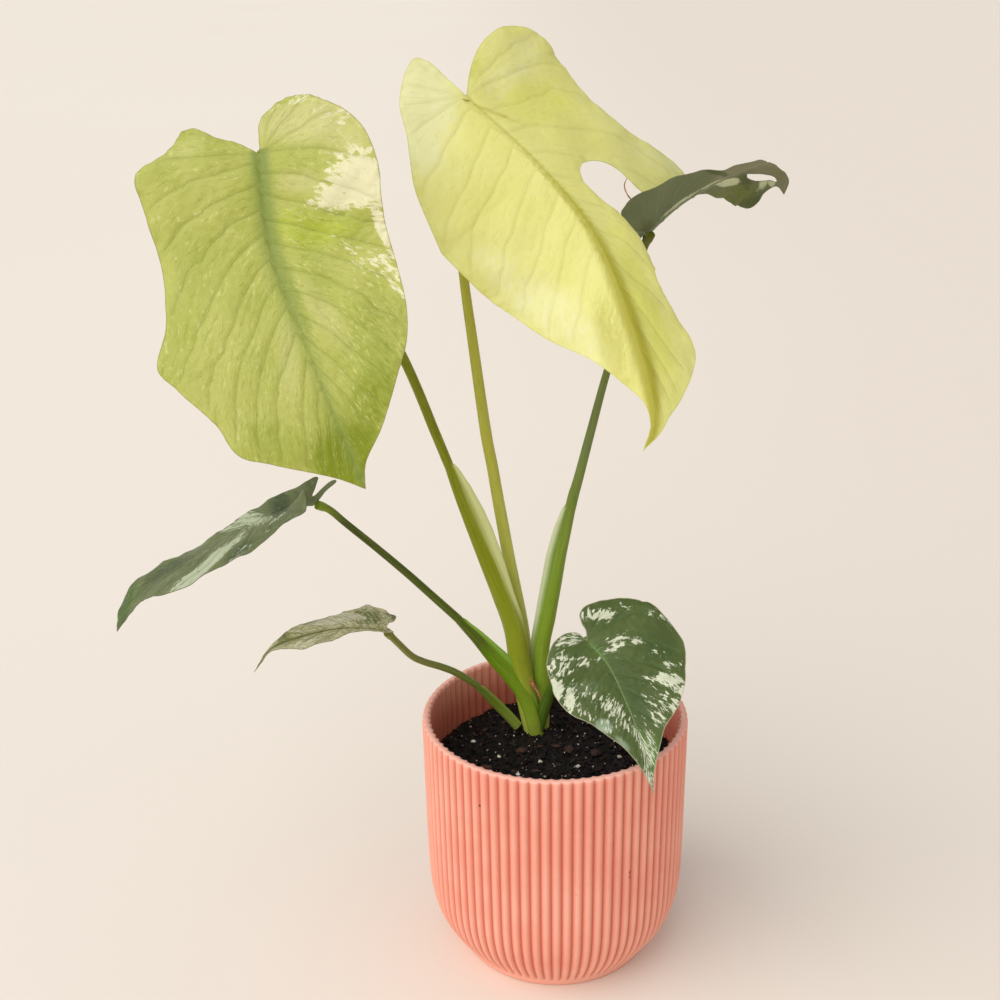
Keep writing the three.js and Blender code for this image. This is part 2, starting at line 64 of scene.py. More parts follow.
KEY_FROM = (-0.66, -0.60, 0.80)
KEY_STRENGTH = 2.3
KEY_ANGLE = 72  # degrees across, for soft shadows
KEY_COLOUR = (1.0, 0.985, 0.965)
WORLD_COLOUR = (0.985, 0.985, 1.0)
WORLD_STRENGTH = 0.58
FLOOR_RADIUS = 14  # metres
FLOOR_CORNERS = 96
FLOOR_DEPTH = 0.1  # millimetres below the pot, so that the two faces don't meet

# ---- pot ----

RIB_COUNT = 80
RIB_TURN = -0.32  # of a rib, so that the ridges in front stand as in the picture
RIB_SAMPLES = 16
VALLEY_CROWDING = 1.35  # above 1, more samples stand in the narrow valleys
RIB_ROUNDNESS = 0.9  # below 1, wide ridges and narrow valleys
POT_ROW_STEP = 2.4
# Outer wall from the foot up to the rim: height, ridge radius, groove depth.
POT_OUTSIDE = [
    (0, 50.1, 0), (0.35, 50.5, 0), (2, 51.4, 0), (4.5, 52.7, 0.05), (6, 53.9, 0.9), (9, 56, 1.5),
    (16, 60.8, 1.6), (25, 65.2, 1.65), (38, 68.3, 1.65), (60, 69.4, 1.65), (95, 69.9, 1.65),
    (128, 70.25, 1.65), (134, 70.3, 1.55), (136, 70.2, 1.2), (136.9, 69.9, 0.8), (137.3, 69.5, 0.5),
    (137.5, 69, 0.35),
]
# Inner wall from the rim down to the floor, with the same ribs showing through.
POT_INSIDE = [
    (137.5, 67.7, 0.6), (137.25, 67.25, 0.85), (136.6, 67.05, 1.05), (134, 66.9, 1.1), (100, 66.4, 1.1),
    (60, 65.9, 0.8), (38, 64.8, 0.8), (25, 61.6, 0.4), (14, 56, 0), (5, 49, 0),
]

ADDED_ROW_GAP = 0.08  # least gap before an added row, as a part of the way between two profile points
# Small dark marks on the outside: x, y, z, radius.
POT_SPECKS = [(36, -59.2, 77.2, 1.5), (35.9, -59.3, 74.4, 1.1), (-39.7, -56.4, 116.2, 1.1)]

# ---- soil ----

SOIL_EDGE_HEIGHT = 107
SOIL_MOUND = 5
SOIL_MOUND_WIDTH = 32
SOIL_BUMP = 0.9
SOIL_BUMP_LENGTHS = (24, 28)
SOIL_RADIUS = 65.1
SOIL_SPACING = 0.75
# Side of the soil body: height, radius.
SOIL_SIDE = [(100, 65), (60, 64.5), (38, 63.2), (25, 60.2), (14, 54.6), (5.4, 47)]
SOIL_LUMPS = [(7.0, 0.85), (3.1, 0.55), (1.7, 0.32)]  # length and height of the unevenness
CROWN = (-9, 29)
STEM_BOTTOM = 70
STEM_TOP = 122
STEM_RADIUS = 6.5
STEM_TOP_RADIUS = 5.2
STEM_ROWS = 53
STEM_SIDES = 48
STEM_RING = (0.22, 1.3)  # height of the wave of leaf scars, and its radians per millimetre
STEM_LOBES = 0.03  # unevenness round the stem, as a part of its radius

CRUMB_COUNT = 1500
CRUMB_SIZES = (0.5, 2.3)
BARK_BIT_COUNT = 150
BARK_BIT_LENGTHS = (2.0, 6.5)
SPECK_COUNT = 230
SPECK_SIZES = (0.22, 0.72)
FIBRE_COUNT = 46
FIBRE_LENGTHS = (5, 15)
PERLITE_COUNT = 10
BARK_CHIP_COUNT = 8
LUMP_OVERHANG = 0.2  # how far a grain or chip may reach past its node

# ---- stalks ----

STALK_STEP = 1.2
ROD_SAMPLES = 15  # points over the round part of a stalk's cross-section
TUBE_SIDE = (0.13, 0.27, 0.95)  # a direction that no thin tube runs along
WING_SAMPLES = 7  # points over each wing of the sheath
WING_THICKNESS = 0.8
SMALLEST_WING = 0.15
JOINT_SWELLING = 1.3
JOINT_LENGTH = 7
JOINT_DEPTH = 1.2  # how far below the blade a stalk's middle line ends
NO_WINGS = (0, 0, 5)  # the wings and the curl of a stalk point that gives none

# Dried bits as tubes: picture x, picture y, depth Y, radius.
DRIED_BITS = {
    "dried_sheath_edge": [(519, 664, 19.7, 0.25), (524, 670, 19.4, 0.6), (529, 678, 19.2, 0.7),
                          (534, 686, 19.1, 0.95), (539, 695, 19.2, 0.6), (543, 706, 19.6, 0.25)],
    "dried_thread": [(636, 204, 18.5, 0.3), (631.7, 200, 18, 0.32), (627.2, 194.4, 17.6, 0.3),
                     (625, 189, 17.5, 0.3), (624.5, 184, 17.6, 0.26), (627, 178, 18, 0.16)],
}

# ---- leaves ----

BLADE_THICKNESS = 0.55
NORMAL_STEP = 0.4
MIDRIB_DIVISIONS = 40
RIB_COLUMNS = (0.6, 1.2, 1.9, 2.7)  # distances of the finer columns of points beside a midrib
RIB_TAPER = 0.8  # how much of a midrib's width is lost by the tip
RIB_RISE = (0.16, 0.52)  # sunk above and raised below, per width of the midrib
VEIN_RISE = (0.10, 0.28)  # the same for the side veins, in millimetres
VEIN_WIDTH = 0.8  # half the width of a side vein's ridge

# The leaves. midrib[0] is the heel behind the junction, midrib[1] is the junction with the stalk, and the
# last point is the tip. facing is the side that the upper face looks to. Outlines run from the sinus to the
# tip as (distance from the midrib, distance along it); lobes behind the junction are negative. folds are in
# degrees from base to tip, positive towards the upper face; bend is the curvature across, per metre. Stalk
# points are (picture x, picture y, depth Y, thickness, left wing, right wing, curl): the middle of the round
# stalk, its thickness, how far the sheath's wings reach from the middle, and how strongly they curl, in
# degrees per mm; a point without a sheath leaves the last three out. patches are soft-edged fields on the
# flat leaf, by layer: (distance from the midrib, right positive, distance along it, half-length, half-width,
# angle of the length in degrees, strength).
LEAVES = {
    "large_left": {
        "midrib": [
            (-135, -2, 452), (-132, -22, 435), (-127, -36, 394), (-113, -56, 360), (-100, -72, 329),
            (-87, -80, 297),
        ],
        "facing": (-0.15, -0.8, 0.55),
        "right": {
            "outline": [
                (0, 0), (0.5, -10), (4, -21), (13, -27), (24, -25), (34, -15), (47, -4), (54, 9), (54, 28),
                (51, 73), (45, 100), (34, 117), (18, 136), (5, 148), (0, 159),
            ],
            "folds": (12, 10, 8),
            "bend": -4,
        },
        "left": {
            "outline": [
                (0, 0), (9, -6.5), (18, -10.5), (24, -15.5), (29, -20.3), (34, -19), (38.5, -12),
                (46, -5.2), (55, -1), (57.5, 6), (56, 16), (51, 40), (55, 57), (66, 72), (62, 86),
                (51, 107), (46, 124), (34, 133), (12, 148), (0, 159),
            ],
            "folds": (12, 10, 8),
            "bend": -4,
        },
        "stalk": [
            (535, 739, 26, 8, 4.6, 4.6, 9), (531, 720, 25, 9, 5, 5, 9), (527.5, 700, 24, 10, 5.6, 5.6, 9),
            (520, 662, 23, 10.4, 6, 6, 8), (514, 628, 22, 9.8, 5.6, 6.5, 8),
            (501, 595, 21, 8.4, 4.8, 7.5, 7), (488, 565, 20.5, 7, 4, 9.5, 6),
            (474.5, 534, 20, 5.4, 3.2, 10.6, 5), (466, 513, 19.5, 4.8, 2.8, 10, 5),
            (457, 489, 19, 4.5, 2.6, 8, 5), (450, 468, 18.5, 4.4, 0, 4.6, 5), (446, 458, 18, 4.4),
            (436, 434, 16.5, 4.4), (404, 359, 9, 4.3), (350, 262, -2, 4), (300, 188, -9, 3.8),
            (272, 158, -14, 3.6),
        ],
        "sheath_facing": (0.55, 0.8, 0.1),
        "stalk_colours": [
            (0, "dcec70"), (0.07, "c6d44e"), (0.15, "a2ae28"), (0.3, "8e9608"), (0.55, "868c04"),
            (1, "8c9818"),
        ],
        "wing_colour": "e0e4a0",
        "rows": 14,
        "fan_spacing": 10,
        "spacing": 0.95,
        "quilt": 0.26,
        "margin_waves": 0.5,
        "channel": [(5.6, 1), (6.4, 0.85), (6.6, 0.65), (5.2, 0.5), (3.8, 0.55), (3.2, 0.7)],
        "look": {
            "upper": "bec25a", "upper_2": "caca6a", "fleck": "e6e392", "cream": "fbf3cc", "dark": "8e9c10",
            "tint": "dcd690", "lime": "c6d23c", "vein": "919a3c", "midrib": "94a24c", "core": "7f9440",
            "under": "bccb8c", "rim": "a3964f", "glow": "cadc44", "rib_width": 2.2, "core_width": 0.8,
            "midrib_core": 0.2, "grain": (0.7, 0.22), "cream_gain": 2, "cream_soft": 0.13,
            "cream_background": 0, "fleck_amount": 0.85, "shade_amount": 0.55, "vein_paint": 0.44,
            "net": 0.18, "gloss": 0.38, "under_veins": 0.7, "relief": 0.4,
        },
        "patches": {
            "cream": [
                (48, 19, 20, 14, 12, 1), (36, 23, 14, 10, 5, 0.8), (26, 26, 9, 4, 10, 0.55),
                (51, 50, 26, 3.4, 88, 0.9), (47, 76, 14, 5, 72, 0.6), (38, 64, 28, 8, 62, 0.34),
                (20, -23, 18, 5, -8, 0.42), (38, -6, 18, 9, 35, 0.36), (-50, 10, 14, 8, 60, 0.14),
                (-58, 70, 14, 6, 100, 0.14),
            ],
            "dark": [
                (0, 150, 24, 20, 90, 1.25), (30, 100, 34, 17, 118, 0.42), (20, 122, 24, 14, 130, 0.62),
                (17, 52, 40, 10, 94, 0.34), (2, 64, 34, 5, 92, 0.5), (-30, 125, 26, 10, 55, 0.34),
                (46, 100, 16, 5, 110, 0.4),
            ],
            "tint": [
                (24, -10, 30, 12, 10, 0.8), (40, 0, 16, 10, 10, 0.6), (18, 15, 14, 7, 5, 0.6),
                # (13, 80) and (-10, 92), pale along the midrib, are a painted sheen.
                (-34, -8, 18, 8, -20, 0.45), (13, 80, 28, 7, 75, 0.5), (-10, 92, 26, 7, 108, 0.5),
                (22, 58, 12, 6, 30, 0.3),
            ],
            "lime": [
                (22, 40, 26, 13, 12, 0.62), (10, 34, 12, 10, 10, 0.6), (-45, 60, 16, 6, 120, 0.35),
                (20, -18, 18, 7, 0, 0.3), (40, 75, 18, 4, 66, 0.4),
            ],
        },
    },
    "large_centre": {
        "midrib": [
            (-58, 20, 474), (-40, 10, 455), (-6, -8, 425), (19, -30, 395), (36, -66, 353), (40, -84, 329),
            (35, -92, 317),
        ],
        "facing": (-0.35, -0.62, 0.7),
        "right": {
            "outline": [
                (0, 0), (5, -4), (15, -12), (29, -19.5), (44, -22), (55, -19), (63, -12), (66.5, -1),
                (66, 12), (62.5, 27), (62, 42), (70, 55), (81, 65), (83, 75), (60, 94), (26, 108),
                (25, 124), (29, 146), (28, 155), (15, 172), (6, 183), (0, 198),
            ],
            "folds": (-27, -30, -37, -45, -42, -25),
            "bend": -4,
        },
        "left": {
            "outline": [
                (0, 0), (0.3, -7), (1.2, -17), (2.6, -24), (6, -29), (12, -28), (18, -24), (26, -16),
                (34, -3), (49, 15), (59, 41), (60, 55), (56, 91), (42, 122), (23, 145), (11, 164), (3, 178),
                (0, 198),
            ],
            "folds": (8, 4, 0, -5, -10, -15),
            "bend": -4,
        },
        "opening": [
            (100, 94), (82, 75), (64, 79.5), (48, 81), (41, 74), (37, 64), (30, 57.5), (22, 56), (16, 60),
            (14, 67), (16, 76), (20, 83), (22.5, 93), (24.2, 104), (24.8, 114), (27, 122), (44, 124),
            (80, 110),
        ],
        "stalk": [
            (531, 724, 33, 5.6), (529.5, 690, 33, 6), (526, 650, 33, 6.2), (522, 622, 32.5, 6.4),
            (515.5, 590, 32, 6.4), (509, 558, 31, 6.2), (503.5, 528, 30, 6), (498, 498, 29, 5.8),
            (493, 469, 27, 5.6), (485.6, 430, 25, 5.5), (472.6, 340, 18, 4.8), (464, 278, 17, 4.3),
            (456, 200, 18, 4.2), (454, 140, 18, 4.4), (464, 105, 12, 4),
        ],
        "sheath_facing": (0.3, -0.9, 0.2),
        "stalk_colours": [(0, "d6da78"), (0.3, "cdcf62"), (0.45, "c2c04e"), (1, "b4b340")],
        "wing_colour": "dde0ac",
        "rows": 13,
        "fan_spacing": 12,
        "spacing": 0.95,
        "quilt": 0.12,
        "margin_waves": 0.3,
        "channel": [(1.6, 0.4), (2, 0.45), (3, 0.5), (4.5, 0.85), (5.5, 1), (5, 1), (3, 0.9)],
        "look": {
            "upper": "eae68c", "upper_2": "eeeb98", "fleck": "f6f4b6", "cream": "f6f4c8", "dark": "beb842",
            "tint": "eeecb8", "lime": "e2e468", "vein": "bfba58", "midrib": "b2ab34", "core": "a8a238",
            "under": "dcdc9c", "rim": "d4d280", "glow": "eaec78", "rib_width": 2.4, "core_width": 0.7,
            "midrib_core": 0.2, "grain": (0.6, 0.24), "cream_gain": 0.8, "cream_soft": 0.45,
            "cream_background": 0.04, "fleck_amount": 0.4, "shade_amount": 0.12, "vein_paint": 0.25,
            "net": 0.06, "relief": 0.25,
        },
        "patches": {
            "cream": [
                # The first two, over the lower left half, are a painted sheen.
                (-34, 112, 44, 12, 66, 0.5), (-46, 78, 28, 8, 84, 0.4), (30, 2, 26, 9, -6, 0.35),
                (70, 66, 20, 10, 30, 0.25),
            ],
            "dark": [
                (4, 14, 16, 1.6, 62, 0.5), (24, 96, 22, 3, 88, 0.3), (-6, 60, 12, 3, 120, 0.3),
                (-12, 140, 26, 8, 92, 0.55), (-0.5, 78, 44, 2.6, 90, 0.6),
            ],
            "tint": [
                # The first two, greyish pale on the left basal lobe, are a painted sheen.
                (-16, -14, 24, 18, -60, 1), (-30, 2, 18, 12, -50, 0.8), (52, -8, 14, 10, 20, 0.4),
                (62, 66, 26, 12, 25, 0.3),
            ],
            "lime": [
                (10, 130, 56, 12, 90, 0.6), (30, 22, 30, 18, 10, 0.55), (-24, 50, 30, 20, 100, 0.3),
                (14, -10, 12, 8, -40, 0.5), (-30, 150, 30, 6, 50, 0.3),
            ],
        },
    },
    "upper_right": {
        "midrib": [
            (36, 2, 385), (45, 9, 391), (60, 22, 400.6), (75, 36, 406.4), (88, 52, 409), (105, 70, 411),
            (119, 84, 405), (124, 89, 393),
        ],
        "facing": (0.05, 0.25, 0.96),
        "right": {
            "outline": [
                (0, 0), (5, -13), (20, -22), (34, -19), (40, -6), (41, 12), (38, 30), (32, 46), (23, 57),
                (18, 65), (21.8, 77), (25.5, 92), (26.5, 104), (28, 115), (25, 121.5), (19, 124.2),
                (13.5, 122.8), (9.8, 119.8), (3, 118), (0, 124),
            ],
            "folds": (-8, -10, -12, -32, -42, -30),
            "bend": -4,
        },
        "left": {
            "outline": [
                (0, 0), (8, -9), (15, -14), (20.8, -15.1), (25.2, -15.2), (26.8, -12.4), (26.7, -8.5),
                (26, -3), (23.3, 11), (20.2, 21), (17.2, 30.5), (14.2, 40), (12.2, 47), (13.7, 52),
                (17, 60), (19, 65), (19.6, 71), (13, 86), (7.2, 98), (4.6, 111), (4, 117), (0, 124),
            ],
            "folds": (58, 52, 38, 10, 4, -10),
            "bend": 2,
        },
        "opening": [
            (6, 88.5), (4.8, 95), (4, 102), (2.8, 109), (2.2, 115), (4.4, 113.5), (6.8, 108), (8.8, 102),
            (9.2, 96), (8.2, 91),
        ],
        "stalk": [
            (542, 741, 28.5, 7, 4.4, 4.2, 9), (541, 720, 28, 8, 5, 4.6, 9),
            (541, 690, 27.5, 8, 5.4, 4.8, 9), (540.5, 650, 27.5, 8.4, 6, 4.8, 8),
            (547, 617, 27, 8.2, 6.8, 4.6, 8), (554, 582, 26.5, 7.4, 7.2, 4.2, 7),
            (559, 556, 26, 6.8, 7.2, 3.8, 6), (564.5, 532, 25.5, 6, 6.6, 3.4, 6),
            (569.5, 510, 25, 5.4, 4.6, 3, 6), (573.5, 494, 24.8, 5.2), (577.7, 480, 24.5, 4.7),
            (591, 430, 24, 4), (606.2, 374, 21, 3.3), (629, 300, 18, 3.2), (640.2, 262, 16.5, 3.2),
            (643.4, 248, 14.5, 3.6),
        ],
        "sheath_facing": (-0.5, 0.8, 0.1),
        "stalk_colours": [
            (0, "c8d866"), (0.12, "9cbc3a"), (0.3, "86a428"), (0.45, "7a9030"), (0.6, "74844a"),
            (0.92, "68743c"), (1, "5c6012"),
        ],
        "wing_colour": "dce6b8",
        "rows": 10,
        "fan_spacing": 9,
        "spacing": 0.7,
        "quilt": 0.2,
        "margin_waves": 0.2,
        "channel": [(1.5, 0.8), (1.4, 0.9), (1.2, 0.5), (1, 0.2)],
        "look": {
            "upper": "727a4e", "upper_2": "80885a", "fleck": "9aa274", "cream": "f0f2cc", "dark": "545c18",
            "tint": "9c9676", "lime": "7a822e", "vein": "5c6638", "midrib": "9aa27c", "core": "9aa27c",
            "under": "747862", "rim": "7d8062", "glow": "a6c23a", "rib_width": 1.7, "core_width": 0.5,
            "midrib_core": 0.1, "grain": (0.9, 0.3), "cream_gain": 0.8, "cream_soft": 0.2,
            "cream_background": 0, "fleck_amount": 0.3, "shade_amount": 0.35, "vein_paint": 0.25,
            "net": 0.08, "veil": 0.25, "under_veins": 0.1, "relief": 0.4,
        },
        "patches": {
            "cream": [
                (8.5, 74, 14, 3.4, 75, 1.2), (4, 62, 10, 1.4, 75, 0.8), (-2, 24, 18, 1.1, 90, 0.8),
                (-2, 48, 14, 1.1, 90, 0.8), (9, 110, 8, 3, 75, 0.9), (4.5, 113, 5, 2.2, 80, 1.1),
                (13.5, 115, 4, 3, 80, 0.5), (23, 110, 6, 1.5, 80, 0.4),
            ],
            "dark": [
                # (-10, 47) is the painted shadow of the crease where the near half's margin curls; (9.4, 88)
                # is a fold's painted shadow over its own dark green.
                (-10, 47, 12, 1.3, 64, 1.5), (9.4, 88, 10, 3.2, 76, 1.5), (17, 122, 9, 3, 0, 0.7),
                (0, -2, 10, 7, 0, 0.9), (14.5, 98, 6, 2, 80, 0.5),
            ],
            # Painted shade: the brown-grey underside of the curled-over tip, in shadow.
            "tint": [(-12, 80, 34, 12, 97, 1.3), (-2, 104, 22, 8, 90, 1.3)],
            "lime": [
                (0, -2, 14, 9, 20, 0.5), (19, 92, 26, 8, 90, 1.3), (20, 112, 12, 8, 90, 1.2),
                (13, 80, 10, 4, 72, 0.9),
            ],
        },
    },
    "lower_left": {
        "midrib": [
            (-103, 0, 255), (-118, -10, 263), (-141, -26, 262), (-167, -42, 252), (-193, -56, 240),
            (-209, -64, 220),
        ],
        "facing": (-0.3, 0.05, 0.95),
        "right": {
            "outline": [
                (0, 0), (0.8, -0.9), (6, -4.6), (10.5, -7.6), (12, -7.6), (10.8, -5.4), (6.8, -2.2),
                (3.6, 1.4), (5, 5), (12, 10), (23, 15.5), (30, 20.5), (29.5, 26), (32.5, 34), (35, 43),
                (35.5, 53), (32.5, 63), (33, 72), (34, 80), (29, 87.5), (20, 93.5), (7, 100), (1.6, 109),
                (0, 119),
            ],
            "folds": (85, 10, 4, 4, 4, 4, 4),
            "bend": -4,
        },
        "left": {
            "outline": [
                (0, 0), (4.5, 0.2), (10.5, -3.4), (18.8, -7.2), (20.2, -7), (18, -4), (15.6, -1),
                (14.2, 3.5), (14.4, 9), (17, 19), (18, 28), (19.5, 36), (20, 46), (21.5, 55), (21, 77),
                (18.5, 86), (18.5, 98), (17.5, 107), (10.5, 114), (0, 119),
            ],
            "folds": (38, 4, -4, -4, 4, 16),
            "bend": 0,
        },
        "stalk": [
            (537, 739, 21, 6, 3.6, 4, 9), (534, 723, 20, 7, 4, 4.4, 9), (530, 708, 20, 7.5, 4.2, 5, 9),
            (522.5, 692, 20, 7.6, 4.2, 6.2, 8), (509.5, 675, 20, 7.4, 4, 7.7, 7),
            (494, 658, 19.5, 6.8, 3.7, 7.2, 6), (478, 639, 19, 5.8, 3.2, 5, 6),
            (467, 628, 18.6, 4.6, 2.6, 3.9, 6), (460.5, 621, 18.2, 4.2, 2.4, 3.2, 6), (457, 617.5, 18, 4),
            (430, 593.5, 15.8, 3.7), (408.6, 574.5, 12, 3.5), (380, 550.5, 7, 3.3), (347.6, 524.5, 0, 3.1),
            (330, 510, -6, 3.1),
        ],
        "sheath_facing": (0.3, 0.9, 0.2),
        "stalk_colours": [
            (0, "b4cc4c"), (0.12, "94b62a"), (0.3, "72980a"), (0.36, "5c6c18"), (0.9, "4e5820"),
            (1, "98ac30"),
        ],
        "wing_colour": "9cc44c",
        "rows": 10,
        "fan_spacing": 8,
        "spacing": 0.7,
        "quilt": 0.3,
        "margin_waves": 0.35,
        "channel": [(1.5, 0.3), (1.2, 0.3), (1, 0.3)],
        "look": {
            "upper": "747c4c", "upper_2": "828a5a", "fleck": "a8b088", "cream": "d2d9b8", "dark": "4a5632",
            "tint": "98a286", "lime": "5c7a2a", "vein": "566444", "midrib": "8f9d76", "core": "8f9d76",
            "under": "98a47a", "rim": "747c56", "glow": "88a84a", "rib_width": 2.2, "core_width": 0.6,
            "midrib_core": 0.25, "grain": (0.8, 0.2), "cream_gain": 2, "cream_soft": 0.09,
            "cream_background": 0.04, "fleck_amount": 0.8, "shade_amount": 0.7, "vein_paint": 0.5,
            "net": 0.15, "gloss": 0.36, "under_veins": 0.4,
        },
        "patches": {
            "cream": [
                (-6, 34, 24, 7, -6, 0.66), (-12, 43, 14, 5, -20, 0.5), (22, 66, 28, 6.5, 58, 0.85),
                (14, 50, 14, 4, 35, 0.55), (20, 30, 14, 2, 45, 0.5), (30, 54, 10, 7, 60, 0.36),
                (4, 74, 20, 4, 80, 0.22),
            ],
            "dark": [
                (-4, 18, 20, 6, 25, 0.8), (6, 6, 10, 7, 45, 0.7), (-4, 82, 18, 14, 90, 0.6),
                (29, 53, 12, 6, 60, 0.7), (-12, 106, 12, 7, 60, 0.5), (0, 112, 8, 4, 90, 0.6),
            ],
            "tint": [(-14, 62, 12, 6, 60, 0.5)],
            "lime": [(-10, 108, 14, 7, 60, 1.2), (-3, 100, 8, 4, 60, 0.6)],
        },
    },
    "small_left": {
        "midrib": [
            (-77, -27, 199), (-84, -30, 202), (-106, -40, 208), (-127, -50, 208), (-139, -56, 205),
            (-146, -60, 196),
        ],
        "facing": (-0.15, -0.04, 0.97),
        "right": {
            "outline": [
                (0, 0), (2.5, -2), (5.4, 2.5), (6, 9), (7, 15), (8.2, 21), (11, 28), (14, 35), (17, 42),
                (17.4, 48), (15.4, 52.6), (10, 56), (4.4, 60), (1.4, 67), (0, 75),
            ],
            "folds": (12, 12, 8),
            "bend": -4,
        },
        "left": {
            "outline": [
                (0, 0), (4, -1), (9, -4), (13, -8), (19, -11.5), (20.5, -8.5), (23, -6), (25, -1.5),
                (26.2, 2), (23.8, 8), (20.2, 15), (16.5, 20.5), (14.2, 26), (13, 31), (11.8, 38),
                (10.6, 45), (8.6, 50), (5.2, 55.2), (2.4, 61.2), (1, 68.8), (0, 75),
            ],
            "folds": (8, 8, 6),
            "bend": -4,
        },
        "stalk": [
            (517, 726, 27, 4.4, 2.8, 3.4, 12), (509, 717, 26, 4.4, 2.8, 3.4, 12),
            (500, 708, 24, 4.2, 2.6, 3.5, 12), (489, 697, 20, 3.9, 2.4, 3.3, 12),
            (482, 690, 17, 3.6, 2.2, 3, 10), (478.5, 687, 15.5, 3.4, 2.1, 2.6, 10), (476, 684.5, 14.6, 3.3),
            (457, 673, 6.5, 3.1), (442, 667, 0, 3), (425, 662, -7, 2.9), (412, 656, -13, 2.9),
            (399, 644, -21, 2.9),
        ],
        "sheath_facing": (0.3, 0.9, 0.3),
        "stalk_colours": [(0, "a4b850"), (0.2, "86a032"), (0.34, "7c8c3c"), (0.7, "86884a"), (1, "8e8c44")],
        "wing_colour": "a3c25c",
        "rows": 8,
        "fan_spacing": 6,
        "spacing": 0.55,
        "quilt": 0.35,
        "margin_waves": 0.35,
        "channel": [(1, 0.5), (1.2, 0.8), (1.5, 0.9), (1.4, 0.9), (1, 0.6)],
        "look": {
            "upper": "e8e2b0", "upper_2": "dcd6a0", "fleck": "f6f1d0", "cream": "fbf6de", "dark": "7d8638",
            "tint": "a4966c", "lime": "8f9c3a", "vein": "74783a", "midrib": "868844", "core": "626828",
            "under": "d2cea8", "rim": "8f825a", "glow": "d0d488", "rib_width": 1.5, "core_width": 0.8,
            "midrib_core": 0.6, "grain": (1, 0.42), "cream_gain": 2.4, "cream_soft": 0.14,
            "cream_background": 0.34, "fleck_amount": 0.8, "shade_amount": 0.45, "vein_paint": 0.9,
            "net": 0.7, "net_width": 0.16, "gloss": 0.38,
        },
        "patches": {
            "cream": [(-14, 18, 10, 5, 105, 0.6), (-8, 28, 10, 4, 90, 0.5), (12, 48, 8, 4, 80, 0.3)],
            "dark": [
                (-12, 5, 7, 5, 15, 1.6), (-9, 8, 6, 4, 40, 1.2), (-4, 53, 8, 2.4, 15, 0.7),
                (-18, 9, 7, 3, 60, 0.8), (-17, -7, 6, 3, 40, 0.7), (-11, 38, 5, 1.5, 90, 0.9),
                (-15, 24, 8, 1.4, 100, 0.6), (9, 44, 10, 1.4, -35, 0.6), (-6, 14, 8, 1.2, 130, 0.7),
            ],
            "tint": [(-19, -9, 7, 4, 40, 0.9), (0, 68, 9, 3, 90, 1), (8, 38, 14, 4, 80, 0.4)],
            "lime": [(-4, 53, 7, 4, 20, 0.9), (3, 4, 6, 3, 10, 0.8)],
        },
    },
    "front_right": {
        "midrib": [
            (4, -13, 202), (15, -26, 193), (26, -38, 183), (36, -56, 165), (42, -68, 151), (45, -78, 135),
        ],
        "facing": (0.1, -0.72, 0.7),
        "right": {
            "outline": [
                (0, 0), (2.6, -4), (3.4, -8.5), (5.6, -13.2), (9.8, -15.2), (15, -14.2), (22, -11.6),
                (29, -8), (35.4, -1.6), (39, 7.5), (41.2, 18.5), (39.8, 24.5), (36, 31.5), (32, 38.4),
                (25, 47.5), (19.6, 51.8), (13, 56.4), (8.2, 62.8), (4.5, 68.8), (1.6, 76), (0, 85),
            ],
            "folds": (8, 8, 8),
            "bend": -8,
        },
        "left": {
            "outline": [
                (0, 0), (1.5, -5.6), (6.8, -8.5), (14.2, -7.8), (21.8, -3.4), (27.2, 2.8), (31, 12),
                (32, 20), (31, 29), (27.4, 36.8), (21, 43.4), (15.8, 50.8), (10.5, 59), (6, 68.5),
                (2, 77.5), (0, 85),
            ],
            "folds": (10, 10, 10),
            "bend": -8,
        },
        "stalk": [
            (534, 742, 22.5, 6, 3.6, 3.8, 10), (537.5, 727, 22, 6.6, 3.8, 4, 10),
            (542.5, 712, 21.5, 6.4, 3.6, 3.9, 10), (550, 693, 18, 5, 2.8, 3, 10), (556, 680, 12, 4),
            (563, 665, 4, 3.6), (575, 648, -10, 3.2),
        ],
        "sheath_facing": (0.3, 0.9, 0.2),
        "stalk_colours": [(0, "5c8420"), (0.3, "527420"), (1, "5c7a38")],
        "wing_colour": "8fb450",
        "rows": 10,
        "fan_spacing": 7,
        "spacing": 0.6,
        "quilt": 0.25,
        "margin_waves": 0.3,
        "channel": [(1.6, 0.35), (1, 0.2), (0.8, 0.1)],
        "look": {
            "upper": "627238", "upper_2": "586832", "fleck": "7c9458", "cream": "f6f8dc", "dark": "44602a",
            "tint": "a8bc9c", "lime": "688e40", "vein": "5e7c4a", "midrib": "739054", "core": "93a96a",
            "under": "7f966c", "rim": "cfc8a6", "glow": "6a9636", "rib_width": 1, "core_width": 0.55,
            "midrib_core": 0.7, "grain": (0.72, 0.24), "cream_gain": 3, "cream_soft": 0.1,
            "cream_background": -0.04, "fleck_amount": 0.5, "shade_amount": 0.45, "vein_paint": 0.35,
            "net": 0.12,
        },
        "patches": {
            "cream": [
                (-30, 15, 11, 5, -75, 1.15), (-26, 27, 10, 3.5, -70, 0.9), (-20, 4, 8, 6, -20, 0.62),
                (-8, -4, 9, 4, 8, 0.62), (-9, 9, 5, 3, 30, 0.6), (-2, 13, 4, 2, 20, 0.55),
                (-21, 22, 12, 5, 60, 0.45), (-8, 39, 8, 5, 62, 0.62), (-15, 46, 5, 4, 40, 0.4),
                (-22, 36, 8, 3, 50, 0.5), (-4, 50, 9, 4, 70, 0.5), (0, 62, 12, 3, 80, 0.62),
                (4, 60, 10, 2.4, 96, 0.6), (-1, 76, 8, 2.6, 90, 0.7), (24, 35, 9, 4, 25, 0.9),
                (28, 42, 7, 4, 60, 0.8), (20, 47, 9, 5, 60, 0.6), (12.5, 52, 6, 4, 60, 0.5),
                (12, 11, 8, 3, 25, 0.62), (6, 12, 5, 2, 20, 0.6), (18, 14, 7, 2.6, 30, 0.5),
